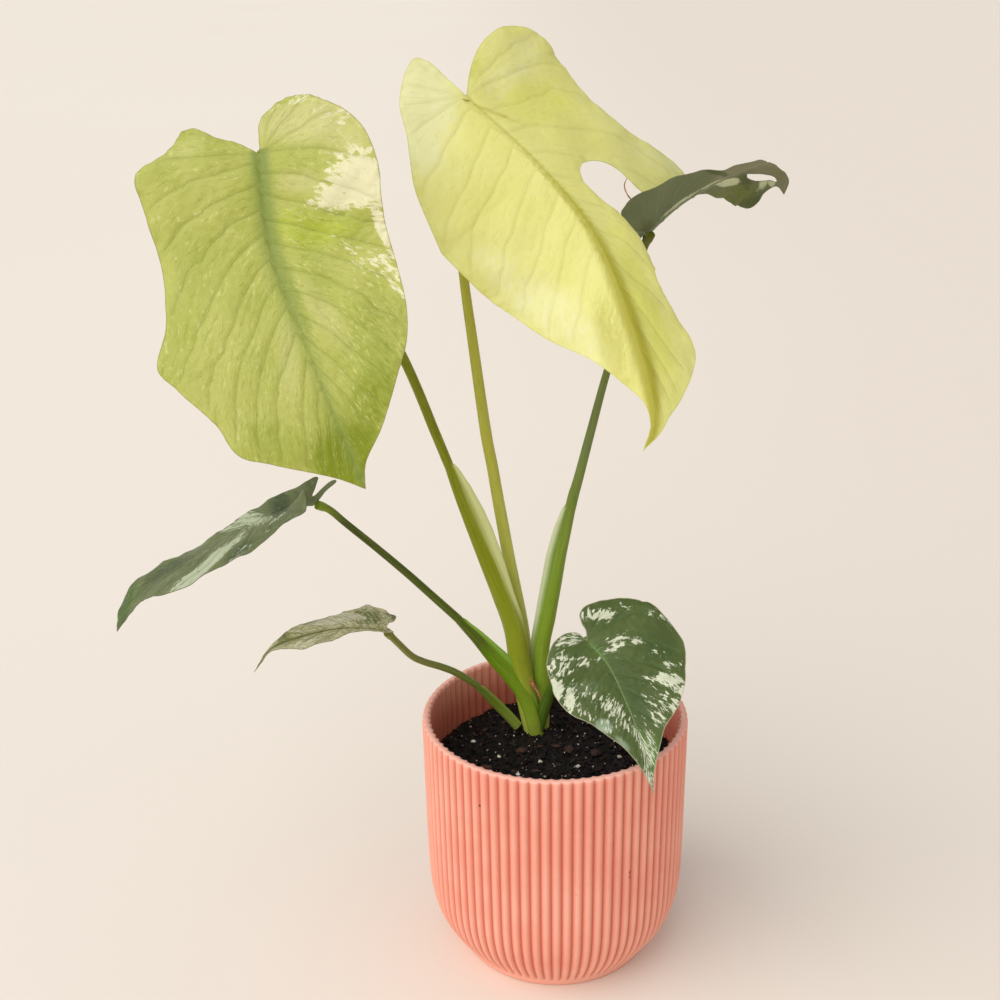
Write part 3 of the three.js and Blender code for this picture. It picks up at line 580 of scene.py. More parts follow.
                (16, -5, 6, 3.4, 15, 0.75), (11, -9, 4, 3, 60, 0.75), (5, -11, 4, 4, 40, 0.4),
                (29, 28, 6, 2.2, 20, 0.5), (37, 12, 8, 2.4, 60, 0.42), (30, 0, 8, 3, 50, 0.35),
                (13, 44, 8, 2.4, 50, 0.42), (11, 41, 4, 2, 30, 0.5), (24, 22, 10, 3, 20, 0.3),
            ],
            "dark": [(5, 36, 20, 8, 80, 0.5), (24, 20, 16, 8, 30, 0.4)],
            "tint": [(-15.5, 46, 4.4, 3.6, 40, 1.3), (-10, 57, 6, 2, 65, 0.7), (-16, 24, 10, 6, 30, 0.35)],
            "lime": [(0, 8, 12, 3, 90, 0.6), (4, 68, 16, 6, 80, 0.9)],
        },
    },
}

# Side veins: how they leave the midrib and curve to the tip, by place along it as a part of its length.
VEIN_PLACES = (0, 0.12, 0.25, 0.4, 0.5, 0.65, 1)
VEIN_SLANTS = (0.02, 0.22, 0.35, 0.55, 0.9, 2.4, 4.0)
VEIN_CURVES = (0.55, 0.9, 1.6, 3.2, 4.0, 8, 16)  # per length of the midrib
ROW_CROWDING = 0.92  # below 1, the side veins stand closer towards the tip
FAN_LENGTH = 0.16  # distance counted per radian of the fan in the basal lobes, per length of the midrib
VEIN_WAVER = 0.10  # of the distance between two side veins
PATCH_LAYERS = ("cream", "dark", "tint", "lime")
# What a leaf's look is where its own gives nothing else.
COMMON_LOOK = {
    "net_width": 0.08, "gloss": 0.34, "veil": 0.6, "under_veins": 0.6, "relief": 0.6,
}


# ---- curves and fields ----

def catmull_rom(points, t, reflected=True):
    """Points of a uniform Catmull-Rom curve, whose ends are continued by reflection or repeated."""
    points = np.asarray(points, float)
    if reflected:
        before, after = 2 * points[0] - points[1], 2 * points[-1] - points[-2]
    else:
        before, after = points[0], points[-1]
    padded = np.vstack([before, points, after])
    span = np.clip(t.astype(int), 0, len(points) - 2)
    f = (t - span)[:, None]
    p0, p1, p2, p3 = (padded[span + k] for k in range(4))
    square = (2 * p0 - 5 * p1 + 4 * p2 - p3) * f**2
    cube = (3 * p1 - p0 - 3 * p2 + p3) * f**3
    return 0.5 * (2 * p1 + (p2 - p0) * f + square + cube)


def lengths_along(line):
    steps = np.linalg.norm(np.diff(line, axis=0), axis=1)
    return np.concatenate([[0], np.cumsum(steps)])


def even_places(points, step, reflected=True, divisions=60):
    """Parameters of a Catmull-Rom curve at even steps of about the length given."""
    fine = np.linspace(0, len(points) - 1, divisions * (len(points) - 1) + 1)
    length = lengths_along(catmull_rom(points, fine, reflected))
    count = max(2, round(length[-1] / step))
    return np.interp(np.linspace(0, length[-1], count + 1), length, fine)


def full_turn(count):
    """Evenly spaced angles round a circle."""
    return np.arange(count) * 2 * math.pi / count


def unit(vectors):
    return vectors / np.linalg.norm(vectors, axis=1)[:, None]


def smoothstep(value, low, high):
    t = np.clip((value - low) / (high - low), 0, 1)
    return t * t * (3 - 2 * t)


def waves(x, y, length, seed, count=14):
    """A smooth random field of about -1 to 1 whose rises are about that length apart."""
    rng = np.random.default_rng(seed)
    total = np.zeros_like(np.asarray(x, float))
    for _ in range(count):
        angle, phase = rng.uniform(0, 2 * math.pi, 2)
        turn = 2 * math.pi / (length * rng.uniform(0.7, 1.5))
        total += np.sin(turn * (x * math.cos(angle) + y * math.sin(angle)) + phase)
    return total / math.sqrt(count)


def inside(points, loop, chunk=4000):
    """Which points lie inside a closed polygon."""
    x0, y0 = loop.T
    x1, y1 = np.roll(loop, -1, axis=0).T
    rise = np.where(y1 == y0, 1.0, y1 - y0)
    found = []
    for first in range(0, len(points), chunk):
        x, y = points[first:first + chunk].T[:, :, None]
        crosses = (y0 > y) != (y1 > y)
        found.append(np.count_nonzero(crosses & (x < (x1 - x0) * (y - y0) / rise + x0), axis=1) % 2 == 1)
    return np.concatenate(found)


def distance_to(points, line, chunk=2000):
    """How far each point is from the nearest point of a line."""
    found = []
    for first in range(0, len(points), chunk):
        apart = points[first:first + chunk, None, :] - line[None]
        found.append(np.sqrt((apart**2).sum(axis=2).min(axis=1)))
    return np.concatenate(found)


def in_blade(points, loop, hole):
    """Which points lie inside the loop and outside the hole, if there is one."""
    found = inside(points, loop)
    return found if hole is None else found & ~inside(points, hole)


def staggered_grid(loop, spacing):
    """Points in even triangles over the box of a loop."""
    low, high = loop.min(axis=0), loop.max(axis=0)
    x = np.arange(low[0], high[0], spacing)
    heights = np.arange(low[1], high[1], spacing * math.sqrt(3) / 2)
    rows = [np.column_stack([x + (k % 2) * spacing / 2, np.full_like(x, y)]) for k, y in enumerate(heights)]
    return np.vstack(rows)


def without_strays(flat, triangles):
    """Only the points that are used, with every triangle anticlockwise."""
    used, triangles = np.unique(triangles, return_inverse=True)
    flat, triangles = flat[used], triangles.reshape(-1, 3)
    first, second, third = (flat[triangles[:, k]] for k in range(3))
    turn = np.cross(second - first, third - first)
    triangles[turn < 0] = triangles[turn < 0][:, ::-1]
    return flat, triangles


def fill_outline(loop, spacing, columns=(), length=0, hole=None):
    """A fine flat mesh inside a loop: points, anticlockwise triangles, and each point's distance to the rim.

    columns are the x of upright lines of points, from 0 to length. hole is a polygon that is cut out."""
    vertices, edges = [], []
    for line in (loop,) if hole is None else (loop, hole):
        first, count = len(vertices), len(line)
        edges += [(first + k, first + (k + 1) % count) for k in range(count)]
        vertices += list(map(tuple, line))
    rim_line = np.array(vertices)
    points = staggered_grid(loop, spacing)
    points = points[in_blade(points, loop, hole)]
    for column_x in columns:
        points = points[np.abs(points[:, 0] - column_x) > spacing * 0.45]
        column = np.arange(spacing, length - spacing, spacing)
        column = np.column_stack([np.full_like(column, column_x), column])
        column = column[in_blade(column, loop, hole)]
        column = column[distance_to(column, rim_line) > spacing * 0.5]
        first = len(vertices)
        vertices += list(map(tuple, column))
        if column_x == 0:
            edges += [(first + k, first + k + 1) for k in range(len(column) - 1)]
    points = points[distance_to(points, rim_line) > spacing * 0.55]
    vertices += list(map(tuple, points))
    made = delaunay_2d_cdt([Vector(v) for v in vertices], edges, [], 1, 1e-5)
    flat, triangles = np.array([tuple(v) for v in made[0]]), np.array(made[2])
    triangles = triangles[in_blade(flat[triangles].mean(axis=1), loop, hole)]
    flat, triangles = without_strays(flat, triangles)
    rim = rim_edges(triangles)
    return flat, triangles, rim, distance_to(flat, flat[np.unique(rim)])


def rim_edges(triangles):
    """The directed edges that belong to one triangle only."""
    edges = np.vstack([triangles[:, [0, 1]], triangles[:, [1, 2]], triangles[:, [2, 0]]])
    ends = np.sort(edges, axis=1)
    _, where, counts = np.unique(ends, axis=0, return_index=True, return_counts=True)
    return edges[where[counts == 1]]


# ---- pieces ----

def add_object(name, data):
    made = bpy.data.objects.new(name, data)
    bpy.context.scene.collection.objects.link(made)
    return made


def mesh_piece(name, vertices, faces, material, replaced=(), attributes=None, sharp=None):
    """A smooth mesh object made from millimetres, riding on the root and standing for the nodes named."""
    mesh = bpy.data.meshes.new(name)
    mesh.from_pydata((np.asarray(vertices) * MM).tolist(), [], faces)
    mesh.shade_smooth()
    if sharp:
        mesh.set_sharp_from_angle(angle=math.radians(sharp))
    for key, values in (attributes or {}).items():
        values = np.asarray(values, np.float32)
        if values.ndim == 1:
            mesh.attributes.new(key, "FLOAT", "POINT").data.foreach_set("value", values)
        else:
            mesh.attributes.new(key, "FLOAT_VECTOR", "POINT").data.foreach_set("vector", values.ravel())
    mesh.materials.append(material)
    piece = add_object(name, mesh)
    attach(piece, ROOT)
    if replaced:
        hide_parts(*replaced)
    return piece


def loft_faces(rings, sides, first=0):
    """Quads over rings of equally many points, and a fan at each end whose middle follows the rings."""
    faces = []
    for ring in range(rings - 1):
        for side in range(sides):
            a = first + ring * sides + side
            b = first + ring * sides + (side + 1) % sides
            faces.append((a, b, b + sides, a + sides))
    last = first + (rings - 1) * sides
    middle = first + rings * sides
    for side in range(sides):
        after = (side + 1) % sides
        faces.append((middle, first + after, first + side))
        faces.append((middle + 1, last + side, last + after))
    return faces


def rings_round(radius, angles, heights, centre=(0, 0)):
    """Level rings of points; radius has a row for each height and a column for each angle."""
    return np.stack([centre[0] + radius * np.cos(angles), centre[1] + radius * np.sin(angles),
                     np.broadcast_to(heights[:, None], radius.shape)], axis=2)


def loft(rings):
    """Vertices and faces of a closed skin over rings of points."""
    rings = np.asarray(rings, float)
    count, sides = rings.shape[:2]
    middles = [rings[0].mean(axis=0), rings[-1].mean(axis=0)]
    return np.vstack([rings.reshape(-1, 3), middles]), loft_faces(count, sides)


# ---- materials ----

def colour(code, alpha=1.0):
    """A linear colour from six hexadecimal digits of sRGB."""
    parts = [int(code[k:k + 2], 16) / 255 for k in (0, 2, 4)]
    linear = [p / 12.92 if p <= 0.04045 else ((p + 0.055) / 1.055) ** 2.4 for p in parts]
    return (*linear, alpha)


class Surface:
    """A material's node tree, with a short call for each kind of node that the surfaces use."""

    def __init__(self, name):
        self.material = bpy.data.materials.new(name)
        self.material.use_nodes = True
        self.nodes = self.material.node_tree.nodes
        self.links = self.material.node_tree.links
        self.nodes.clear()

    def feed(self, socket, value):
        if isinstance(value, bpy.types.NodeSocket):
            self.links.new(value, socket)
        elif isinstance(value, str):
            socket.default_value = colour(value)
        else:
            socket.default_value = value

    def node(self, kind, inputs, **settings):
        made = self.nodes.new("ShaderNode" + kind)
        for name, value in settings.items():
            setattr(made, name, value)
        for socket, value in inputs.items():
            self.feed(made.inputs[socket], value)
        return made

    def math(self, operation, *values, clamp=False):
        inputs = dict(enumerate(values))
        return self.node("Math", inputs, operation=operation, use_clamp=clamp).outputs[0]

    def times(self, *values):
        total = values[0]
        for value in values[1:]:
            total = self.math("MULTIPLY", total, value)
        return total

    def plus(self, *values):
        total = values[0]
        for value in values[1:]:
            total = self.math("ADD", total, value)
        return total

    def most(self, first, second):
        return self.math("MAXIMUM", first, second)

    def centred(self, value, gain):
        """A field of 0 to 1 as a swing to both sides of 0."""
        return self.times(self.math("SUBTRACT", value, 0.5), gain)

    def off_whole(self, value):
        """How far a value is from the nearest whole number."""
        middle = self.math("SUBTRACT", self.math("FRACT", value), 0.5)
        return self.math("SUBTRACT", 0.5, self.math("ABSOLUTE", middle))

    def fade(self, value, low, high, start=0.0, end=1.0):
        """start below low, end above high, and a soft step between."""
        inputs = {"Value": value, "From Min": low, "From Max": high, "To Min": start, "To Max": end}
        return self.node("MapRange", inputs, interpolation_type="SMOOTHSTEP").outputs["Result"]

    def mix(self, factor, first, second, blend="MIX"):
        inputs = {0: factor, 6: first, 7: second}
        return self.node("Mix", inputs, data_type="RGBA", blend_type=blend).outputs[2]

    def ramp(self, factor, stops):
        made = self.node("ValToRGB", {"Fac": factor})
        elements = made.color_ramp.elements
        while len(elements) < len(stops):
            elements.new(0.5)
        for element, (place, code) in zip(elements, stops):
            element.position = place
            element.color = colour(code)
        return made.outputs["Color"]

    def noise(self, vector, scale, detail=3.0, roughness=0.5, distortion=0.0):
        inputs = {"Vector": vector, "Scale": scale, "Detail": detail, "Roughness": roughness,
                  "Distortion": distortion}
        return self.node("TexNoise", inputs).outputs[0]

    def cells(self, vector, scale, feature="F1"):
        inputs = {"Vector": vector, "Scale": scale}
        return self.node("TexVoronoi", inputs, feature=feature).outputs["Distance"]

    def attribute(self, name):
        return self.node("Attribute", {}, attribute_name=name)

    def split(self, vector):
        return self.node("SeparateXYZ", {"Vector": vector}).outputs

    def join(self, x, y, z=0.0):
        return self.node("CombineXYZ", {"X": x, "Y": y, "Z": z}).outputs[0]

    def place(self, scale=1000.0):
        """The surface's own coordinates, in millimetres unless scaled otherwise."""
        coordinates = self.node("TexCoord", {}).outputs["Object"]
        return self.node("VectorMath", {0: coordinates, 3: scale}, operation="SCALE").outputs[0]

    def bump(self, height, strength, distance, normal=None):
        inputs = {"Height": height, "Strength": strength, "Distance": distance * MM}
        if normal is not None:
            inputs["Normal"] = normal
        return self.node("Bump", inputs).outputs["Normal"]

    def stretched(self, vector, factors):
        return self.node("VectorMath", {0: vector, 1: factors}, operation="MULTIPLY").outputs[0]

    def skin(self, base, rough, specular, normal=None):
        inputs = {"Base Color": base, "Roughness": rough, "Specular IOR Level": specular}
        if normal is not None:
            inputs["Normal"] = normal
        return self.node("BsdfPrincipled", inputs).outputs[0]

    def thin_skin(self, base, rough, specular, normal, glow, share):
        """A skin that lets a share of the light through, in the colour of glow."""
        skin = self.skin(base, rough, specular, normal)
        through = self.node("BsdfTranslucent", {"Color": glow, "Normal": normal}).outputs[0]
        return self.node("MixShader", {0: share, 1: skin, 2: through}).outputs[0]

    def close(self, shader):
        output = self.node("OutputMaterial", {})
        self.links.new(shader, output.inputs["Surface"])
        return self.material


def pot_material():
    s = Surface("coral_ceramic")
    place = s.place()
    groove = s.attribute("groove").outputs["Fac"]
    cloud = s.noise(place, 0.025, 4, 0.55)
    grain = s.noise(place, 1.6, 4, 0.7)
    speck = s.cells(place, 0.09)
    across, away, height = s.split(place)
    radial = s.math("SQRT", s.plus(s.times(across, across), s.times(away, away)))
    base = s.mix(s.fade(cloud, 0.35, 0.65), "f09f89", "f5ad96")
    inside = s.times(s.fade(radial, 67.4, 67.9, 1, 0), s.fade(height, 88, 96))
    # Darker down the inner wall from the rim towards the soil: painted shade inside the pot.
    painted_inner_shade = s.times(inside, s.fade(height, 137, 114, 0, 0.72))
    base = s.mix(painted_inner_shade, base, "ad4c32")
    base = s.mix(s.fade(height, 26, 5, 0, 0.6), base, "fbbda6")
    # Darker in the grooves: painted shade, with a deeper tone of the pot's own.
    base = s.mix(s.times(groove, 0.52), base, "c9654e")
    # Paler along the top of the rim: a painted highlight.
    base = s.mix(s.fade(height, 135.8, 137.2, 0, 0.5), base, "f9c4b4")
    base = s.mix(s.fade(grain, 0.62, 0.8, 0, 0.16), base, "fac0ac")
    base = s.mix(s.fade(speck, 0.02, 0.035, 0.75, 0), base, "a8543c")
    for x, y, z, size in POT_SPECKS:
        away = s.node("VectorMath", {0: place, 1: (x, y, z)}, operation="DISTANCE").outputs["Value"]
        base = s.mix(s.fade(away, 0.5 * size, size, 0.8, 0), base, "6e2c22")
    rough = s.fade(grain, 0.3, 0.7, 0.56, 0.66)
    normal = s.bump(s.plus(s.times(grain, 0.6), s.noise(place, 0.35, 3, 0.6)), 0.22, 0.28)
    return s.close(s.skin(base, rough, 0.35, normal))


def soil_material(name, dark, light, wet):
    """Moist mix: dark clods, lighter where it has dried, with a different tone for each loose piece."""
    s = Surface(name)
    place = s.place()
    tone = s.attribute("tone").outputs["Fac"]
    clod = s.noise(place, 0.28, 5, 0.65)
    fine = s.noise(place, 1.9, 5, 0.75)
    base = s.mix(s.fade(s.plus(s.times(clod, 0.7), s.times(tone, 0.45)), 0.42, 0.8), dark, light)
    base = s.mix(s.fade(fine, 0.62, 0.8, 0, 0.35), base, "4a3020")
    rough = s.fade(clod, 0.35, 0.65, wet, wet + 0.35)
    height = s.plus(s.times(fine, 0.8), s.noise(place, 4.6, 3, 0.7))
    normal = s.bump(height, 0.75, 0.6)
    return s.close(s.skin(base, rough, 0.3, normal))


def perlite_material():
    s = Surface("perlite_white")
    place = s.place()
    stain = s.noise(place, 0.9, 4, 0.7)
    pores = s.cells(place, 2.6)
    base = s.mix(s.fade(stain, 0.44, 0.62), "efece2", "a58b74")
    base = s.mix(s.fade(pores, 0.0, 0.16, 0.5, 0), base, "7d6a58")
    normal = s.bump(s.plus(pores, s.times(stain, 0.5)), 0.7, 0.3)
    return s.close(s.skin(base, 0.8, 0.5, normal))


def bark_material():
    s = Surface("pine_bark")
    place = s.place()
    tone = s.attribute("tone").outputs["Fac"]
    grain = s.noise(s.stretched(place, (0.3, 1.3, 2.6)), 0.8, 5, 0.7, 0.6)
    fine = s.noise(place, 2.4, 4, 0.7)
    base = s.mix(s.fade(s.plus(s.times(grain, 0.8), s.times(tone, 0.4)), 0.4, 0.85), "1c110b", "4e3020")
    base = s.mix(s.fade(fine, 0.62, 0.8, 0, 0.4), base, "7c5a3e")
    rough = s.fade(fine, 0.3, 0.7, 0.5, 0.8)
    normal = s.bump(s.plus(grain, s.times(fine, 0.4)), 0.8, 0.5)
    return s.close(s.skin(base, rough, 0.4, normal))


def stem_material():
    s = Surface("stem_green")
    place = s.place()
    rings = s.noise(s.stretched(place, (0.25, 0.25, 1.4)), 0.5, 4)
    base = s.mix(s.fade(rings, 0.35, 0.65), "a9b552", "7f8b3a")
    base = s.mix(s.fade(s.noise(place, 1.2, 4, 0.7), 0.58, 0.72, 0, 0.7), base, "8d6a3c")
    normal = s.bump(rings, 0.5, 0.5)
    return s.close(s.skin(base, 0.5, 0.5, normal))


def stalk_material(name, leaf):
    """A stalk's skin: its own colours from soil to blade, fine lines along it, pale edges on the sheath."""
    s = Surface(f"stalk_{name}")
    part, edge, wing = s.split(s.attribute("stalk").outputs["Vector"])
    across_mm, along_mm, _ = s.split(s.attribute("grain").outputs["Vector"])
    base = s.ramp(part, leaf["stalk_colours"])
    lines = s.noise(s.join(s.times(across_mm, 1.7), s.times(along_mm, 0.03)), 1.0, 4, 0.6)
    mottle = s.noise(s.join(across_mm, s.times(along_mm, 0.3)), 0.35, 4, 0.6)
    flecks = s.noise(s.join(s.times(across_mm, 2.0), s.times(along_mm, 0.5)), 1.0, 3, 0.6)
    base = s.mix(s.fade(lines, 0.42, 0.68, 0, 0.5), base, s.mix(0.25, base, "dce27c"))
    base = s.mix(s.fade(mottle, 0.5, 0.72, 0, 0.5), base, s.mix(0.25, base, "3f5010"))
    base = s.mix(s.fade(flecks, 0.68, 0.74, 0, 0.3), base, "dfe394")
    ragged = s.plus(edge, s.centred(lines, 0.5))
    base = s.mix(s.times(wing, s.fade(ragged, 0.1, 0.75)), base, leaf["wing_colour"])
    rim = s.times(wing, s.fade(edge, 0.93, 0.99, 0, 0.5))
    base = s.mix(rim, base, "b5a878")
    rough = s.fade(mottle, 0.35, 0.65, 0.36, 0.48)
    normal = s.bump(s.plus(lines, s.times(mottle, 0.5)), 0.4, 0.3)
    return s.close(s.thin_skin(base, rough, 0.24, normal, s.mix(0.4, base, "dfe440"), 0.2))


def leaf_fields(s, look):
    """Give the surface the fields that a blade's colours are made of: places, patches and noises."""
    s.flat = s.attribute("flat").outputs["Vector"]
    s.side, _, s.under = s.split(s.flat)
    s.row, s.reach, s.row_mm = s.split(s.attribute("vein").outputs["Vector"])
    s.cream, s.dark, s.tint = s.split(s.attribute("patch").outputs["Vector"])
    s.lime = s.attribute("lime").outputs["Fac"]
    s.start, s.channel, s.rim = s.split(s.attribute("streak").outputs["Vector"])
    fine_start, fine_reach = look["grain"]
    streaks = s.join(s.times(s.start, fine_start), s.times(s.reach, fine_reach))
    crossways = s.join(s.times(s.reach, fine_reach * 1.3), s.times(s.start, fine_start * 0.8))
    s.fine = s.noise(streaks, 1.0, 5, 0.62, 0.5)
    s.grainy = s.noise(s.flat, 1.3, 4, 0.7)
    s.coarse = s.noise(s.join(s.times(s.start, 0.14), s.times(s.reach, 0.05)), 1.0, 4, 0.6)
    s.crossing = s.noise(crossways, 1.0, 4, 0.7, 0.4)
    tile = s.split(s.node("TexVoronoi", {"Vector": streaks, "Scale": 1.6}).outputs["Color"])[0]
    s.ragged = s.plus(s.times(s.fine, 0.62), s.times(s.grainy, 0.2), s.times(tile, 0.18), -0.5)


def leaf_ground(s, look):
    """A blade's colours: its soft and speckled variegation along the veins, with a few patches of painted
    sheen and painted shade.
    """
    cloud = s.noise(s.flat, 0.035, 3, 0.5)
    base = s.mix(s.fade(cloud, 0.35, 0.65), look["upper"], look["upper_2"])
    base = s.mix(s.fade(s.plus(s.lime, s.ragged), 0.2, 0.9), base, look["lime"])
    base = s.mix(s.fade(s.plus(s.tint, s.times(s.ragged, 0.8)), 0.15, 0.85), base, look["tint"])
    base = s.mix(s.fade(s.plus(s.dark, s.times(s.ragged, 0.9)), 0.1, 0.9), base, look["dark"])
    light = s.plus(s.times(s.crossing, 0.7), s.times(s.coarse, 0.3))
    base = s.mix(s.fade(light, 0.53, 0.66, 0, look["fleck_amount"]), base, look["fleck"])
    shade = s.plus(s.times(s.fine, 0.8), s.times(s.grainy, 0.2))
    shade = s.times(s.fade(shade, 0.54, 0.66, 0, look["shade_amount"]), 0.6)
    base = s.mix(shade, base, look["dark"])
    spots = s.plus(s.cream, look["cream_background"], s.times(s.ragged, look["cream_gain"]))
    spots = s.plus(spots, s.centred(s.coarse, 0.5))
    s.creamy = s.fade(spots, 0.5 - look["cream_soft"], 0.5 + look["cream_soft"])
    return s.mix(s.creamy, base, look["cream"])


def leaf_veins(s, look):
    """The fields of a blade's lines: side veins, finer ones between them, the net, and all of them."""
    ripple = s.centred(s.grainy, 0.5)
    s.inner = s.fade(s.rim, 0.5, 5)
    near_vein = s.plus(s.times(s.off_whole(s.row), s.row_mm), ripple)
    s.core = s.times(s.fade(near_vein, 0.08, 0.5, 1, 0), s.inner)
    # A wide soft band beside each side vein; on the upper face it is painted darker, as painted shade in the
    # sunk vein.
    s.valley = s.times(s.fade(near_vein, 0.2, 2.2, 0.42, 0), s.inner)
    wobble = s.centred(s.noise(s.flat, 0.11, 3, 0.6), 1.7)
    third = s.off_whole(s.plus(s.times(s.row, 3), wobble))
    broken = s.fade(s.noise(s.flat, 0.16, 3, 0.6), 0.46, 0.56)
    near_third = s.plus(s.times(third, s.row_mm, 1 / 3), ripple)
    s.minor = s.times(s.fade(near_third, 0.02, 0.34, 1, 0), broken, s.inner)
    warp = s.times(s.ragged, 0.8)
    net_place = s.join(s.plus(s.times(s.start, 0.5), warp), s.plus(s.times(s.reach, 0.3), warp))
    net_edges = s.cells(net_place, 1.0, "DISTANCE_TO_EDGE")
    s.net = s.fade(net_edges, 0.0, look["net_width"], look["net"], 0)
    off_rim = s.math("ABSOLUTE", s.math("SUBTRACT", s.plus(s.rim, ripple), 2.4))
    rim_vein = s.times(s.fade(off_rim, 0.1, 0.4, 0.45, 0), broken)
    return s.most(s.most(s.core, s.valley), s.most(s.times(s.minor, 0.7), s.most(s.net, rim_vein)))


def leaf_top(s, look):
    """The colours of a blade's upper face."""
    base = leaf_ground(s, look)
    lines = leaf_veins(s, look)
    line_colour = s.mix(s.times(s.creamy, 0.5), look["vein"], look["cream"])
    # The veins' own colour over the lines; the wide band beside each side vein is painted shade.
    base = s.mix(s.times(lines, look["vein_paint"]), base, line_colour)
    channel = s.fade(s.plus(s.channel, s.times(s.ragged, 0.45)), 0.1, 0.95)
    base = s.mix(channel, base, look["midrib"])
    middle = s.plus(s.math("ABSOLUTE", s.side), s.times(s.ragged, 0.6))
    centre = s.fade(middle, 0.3 * look["core_width"], look["core_width"], look["midrib_core"], 0)
    s.centre = s.times(centre, s.inner)
    base = s.mix(s.centre, base, look["core"])
    edging = s.fade(s.plus(s.rim, s.times(s.ragged, 0.7)), 0.1, 0.65, 0.75, 0)
    return s.mix(edging, base, look["rim"])


def leaf_below(s, look, base):
    """The colours of a blade's underside: a veil over those above, with paler veins."""
    beneath = s.mix(look["veil"], base, look["under"])
    ribs = s.times(s.most(s.most(s.core, s.valley), s.centre), look["under_veins"])
    return s.mix(ribs, beneath, s.mix(0.5, look["under"], "e6ecc0"))


def leaf_normal(s, look):
    """Sunk veins and a fine grain above, and the same turned outwards below."""
    dents = s.plus(s.times(s.core, -0.5), s.times(s.valley, -1.6), s.times(s.minor, -0.6),
                   s.times(s.net, -0.8))
    relief = s.plus(dents, s.times(s.fine, 0.7), s.times(s.crossing, 0.6))
    relief = s.times(relief, s.math("SUBTRACT", 1.0, s.times(s.under, 1.7)))
    return s.bump(relief, look["relief"], 0.5, s.bump(s.grainy, 0.2, 0.15))


def leaf_material(name, leaf):
    look = {**COMMON_LOOK, **leaf["look"]}
    s = Surface(f"leaf_{name}")
    leaf_fields(s, look)
    base = leaf_top(s, look)
    base = s.mix(s.under, base, leaf_below(s, look, base))
    matt = s.plus(s.times(s.coarse, 0.5), s.times(s.grainy, 0.5))
    rough = s.fade(matt, 0.35, 0.65, look["gloss"], look["gloss"] + 0.14)
    rough = s.plus(rough, s.times(s.under, 0.16))
    glow = s.mix(0.5, base, look["glow"])
    return s.close(s.thin_skin(base, rough, 0.42, leaf_normal(s, look), glow, 0.3))


def dried_material():
    s = Surface("dried_sheath")
    place = s.place()
    streak = s.noise(place, 0.9, 4, 0.65)
    base = s.mix(s.fade(streak, 0.4, 0.62), "d99a6c", "a8583a")
    base = s.mix(s.fade(s.noise(place, 2.6, 3, 0.6), 0.58, 0.7, 0, 0.5), base, "ecc79c")
    normal = s.bump(streak, 0.6, 0.4)
    return s.close(s.skin(base, 0.6, 0.35, normal))


def floor_material():
    s = Surface("pale_floor")
    place = s.place(1.0)
    across, _, _ = s.split(place)
    # Paler to the left and darker to the right: painted light falling from the left.
    base = s.mix(s.fade(across, -0.5, 0.7), "ede4d8", "e4dacd")
    base = s.mix(s.fade(s.noise(place, 1.2, 3), 0.35, 0.65, 0, 0.1), base, "e4d8c8")
    return s.close(s.skin(base, 0.85, 0.2))


# ---- pot and soil ----

def rib_angles():
    """Angles round the pot, crowded in the valleys, and how far each is up from a valley to a ridge."""
    spread = np.linspace(-1, 1, RIB_SAMPLES, endpoint=False)
    part = 0.5 + 0.5 * np.sign(spread) * np.abs(spread) ** VALLEY_CROWDING
    angles = (np.arange(RIB_COUNT)[:, None] + part[None] + RIB_TURN).ravel() * 2 * math.pi / RIB_COUNT
    up = np.tile(2 * np.abs(part - 0.5), RIB_COUNT)
    return angles, np.sin(0.5 * math.pi * up**RIB_ROUNDNESS)


def rounded_rows(profile):
    """Rows along a Catmull-Rom curve through a profile, at about even steps."""
    t = even_places(profile, POT_ROW_STEP, False)
    whole = np.arange(len(profile), dtype=float)
    t = np.unique(np.concatenate([t, whole]))
    keep = [t[0]]
    for value in t[1:]:
        if value - keep[-1] > ADDED_ROW_GAP or value in whole:
            keep.append(value)
    return catmull_rom(profile, np.array(keep), False)


def build_pot():
    angles, up = rib_angles()
    rows = np.vstack([rounded_rows(POT_OUTSIDE), rounded_rows(POT_INSIDE)])
    height, ridge, depth = rows.T
    deep = np.maximum(depth[:, None], 0) * (1 - up[None])
    vertices, faces = loft(rings_round(ridge[:, None] - deep, angles, height))
    groove = np.concatenate([deep.ravel(), [0, 0]])
    return mesh_piece("ribbed_pot", vertices, faces, pot_material(), ["pot"], {"groove": groove})


def soil_height(x, y):
    """The soil's level where it isn't rough."""
    from_crown = np.hypot(x - CROWN[0], y - CROWN[1]) / SOIL_MOUND_WIDTH
    length_x, length_y = SOIL_BUMP_LENGTHS
    bumps = np.sin(2 * math.pi * x / length_x) * np.sin(2 * math.pi * y / length_y)
    return SOIL_EDGE_HEIGHT + SOIL_MOUND * np.exp(-from_crown**2) + SOIL_BUMP * bumps


def rough_soil_height(x, y):
    height = soil_height(x, y)
    for k, (length, lift) in enumerate(SOIL_LUMPS):
        height = height + lift * waves(x, y, length, 40 + k)
    return height


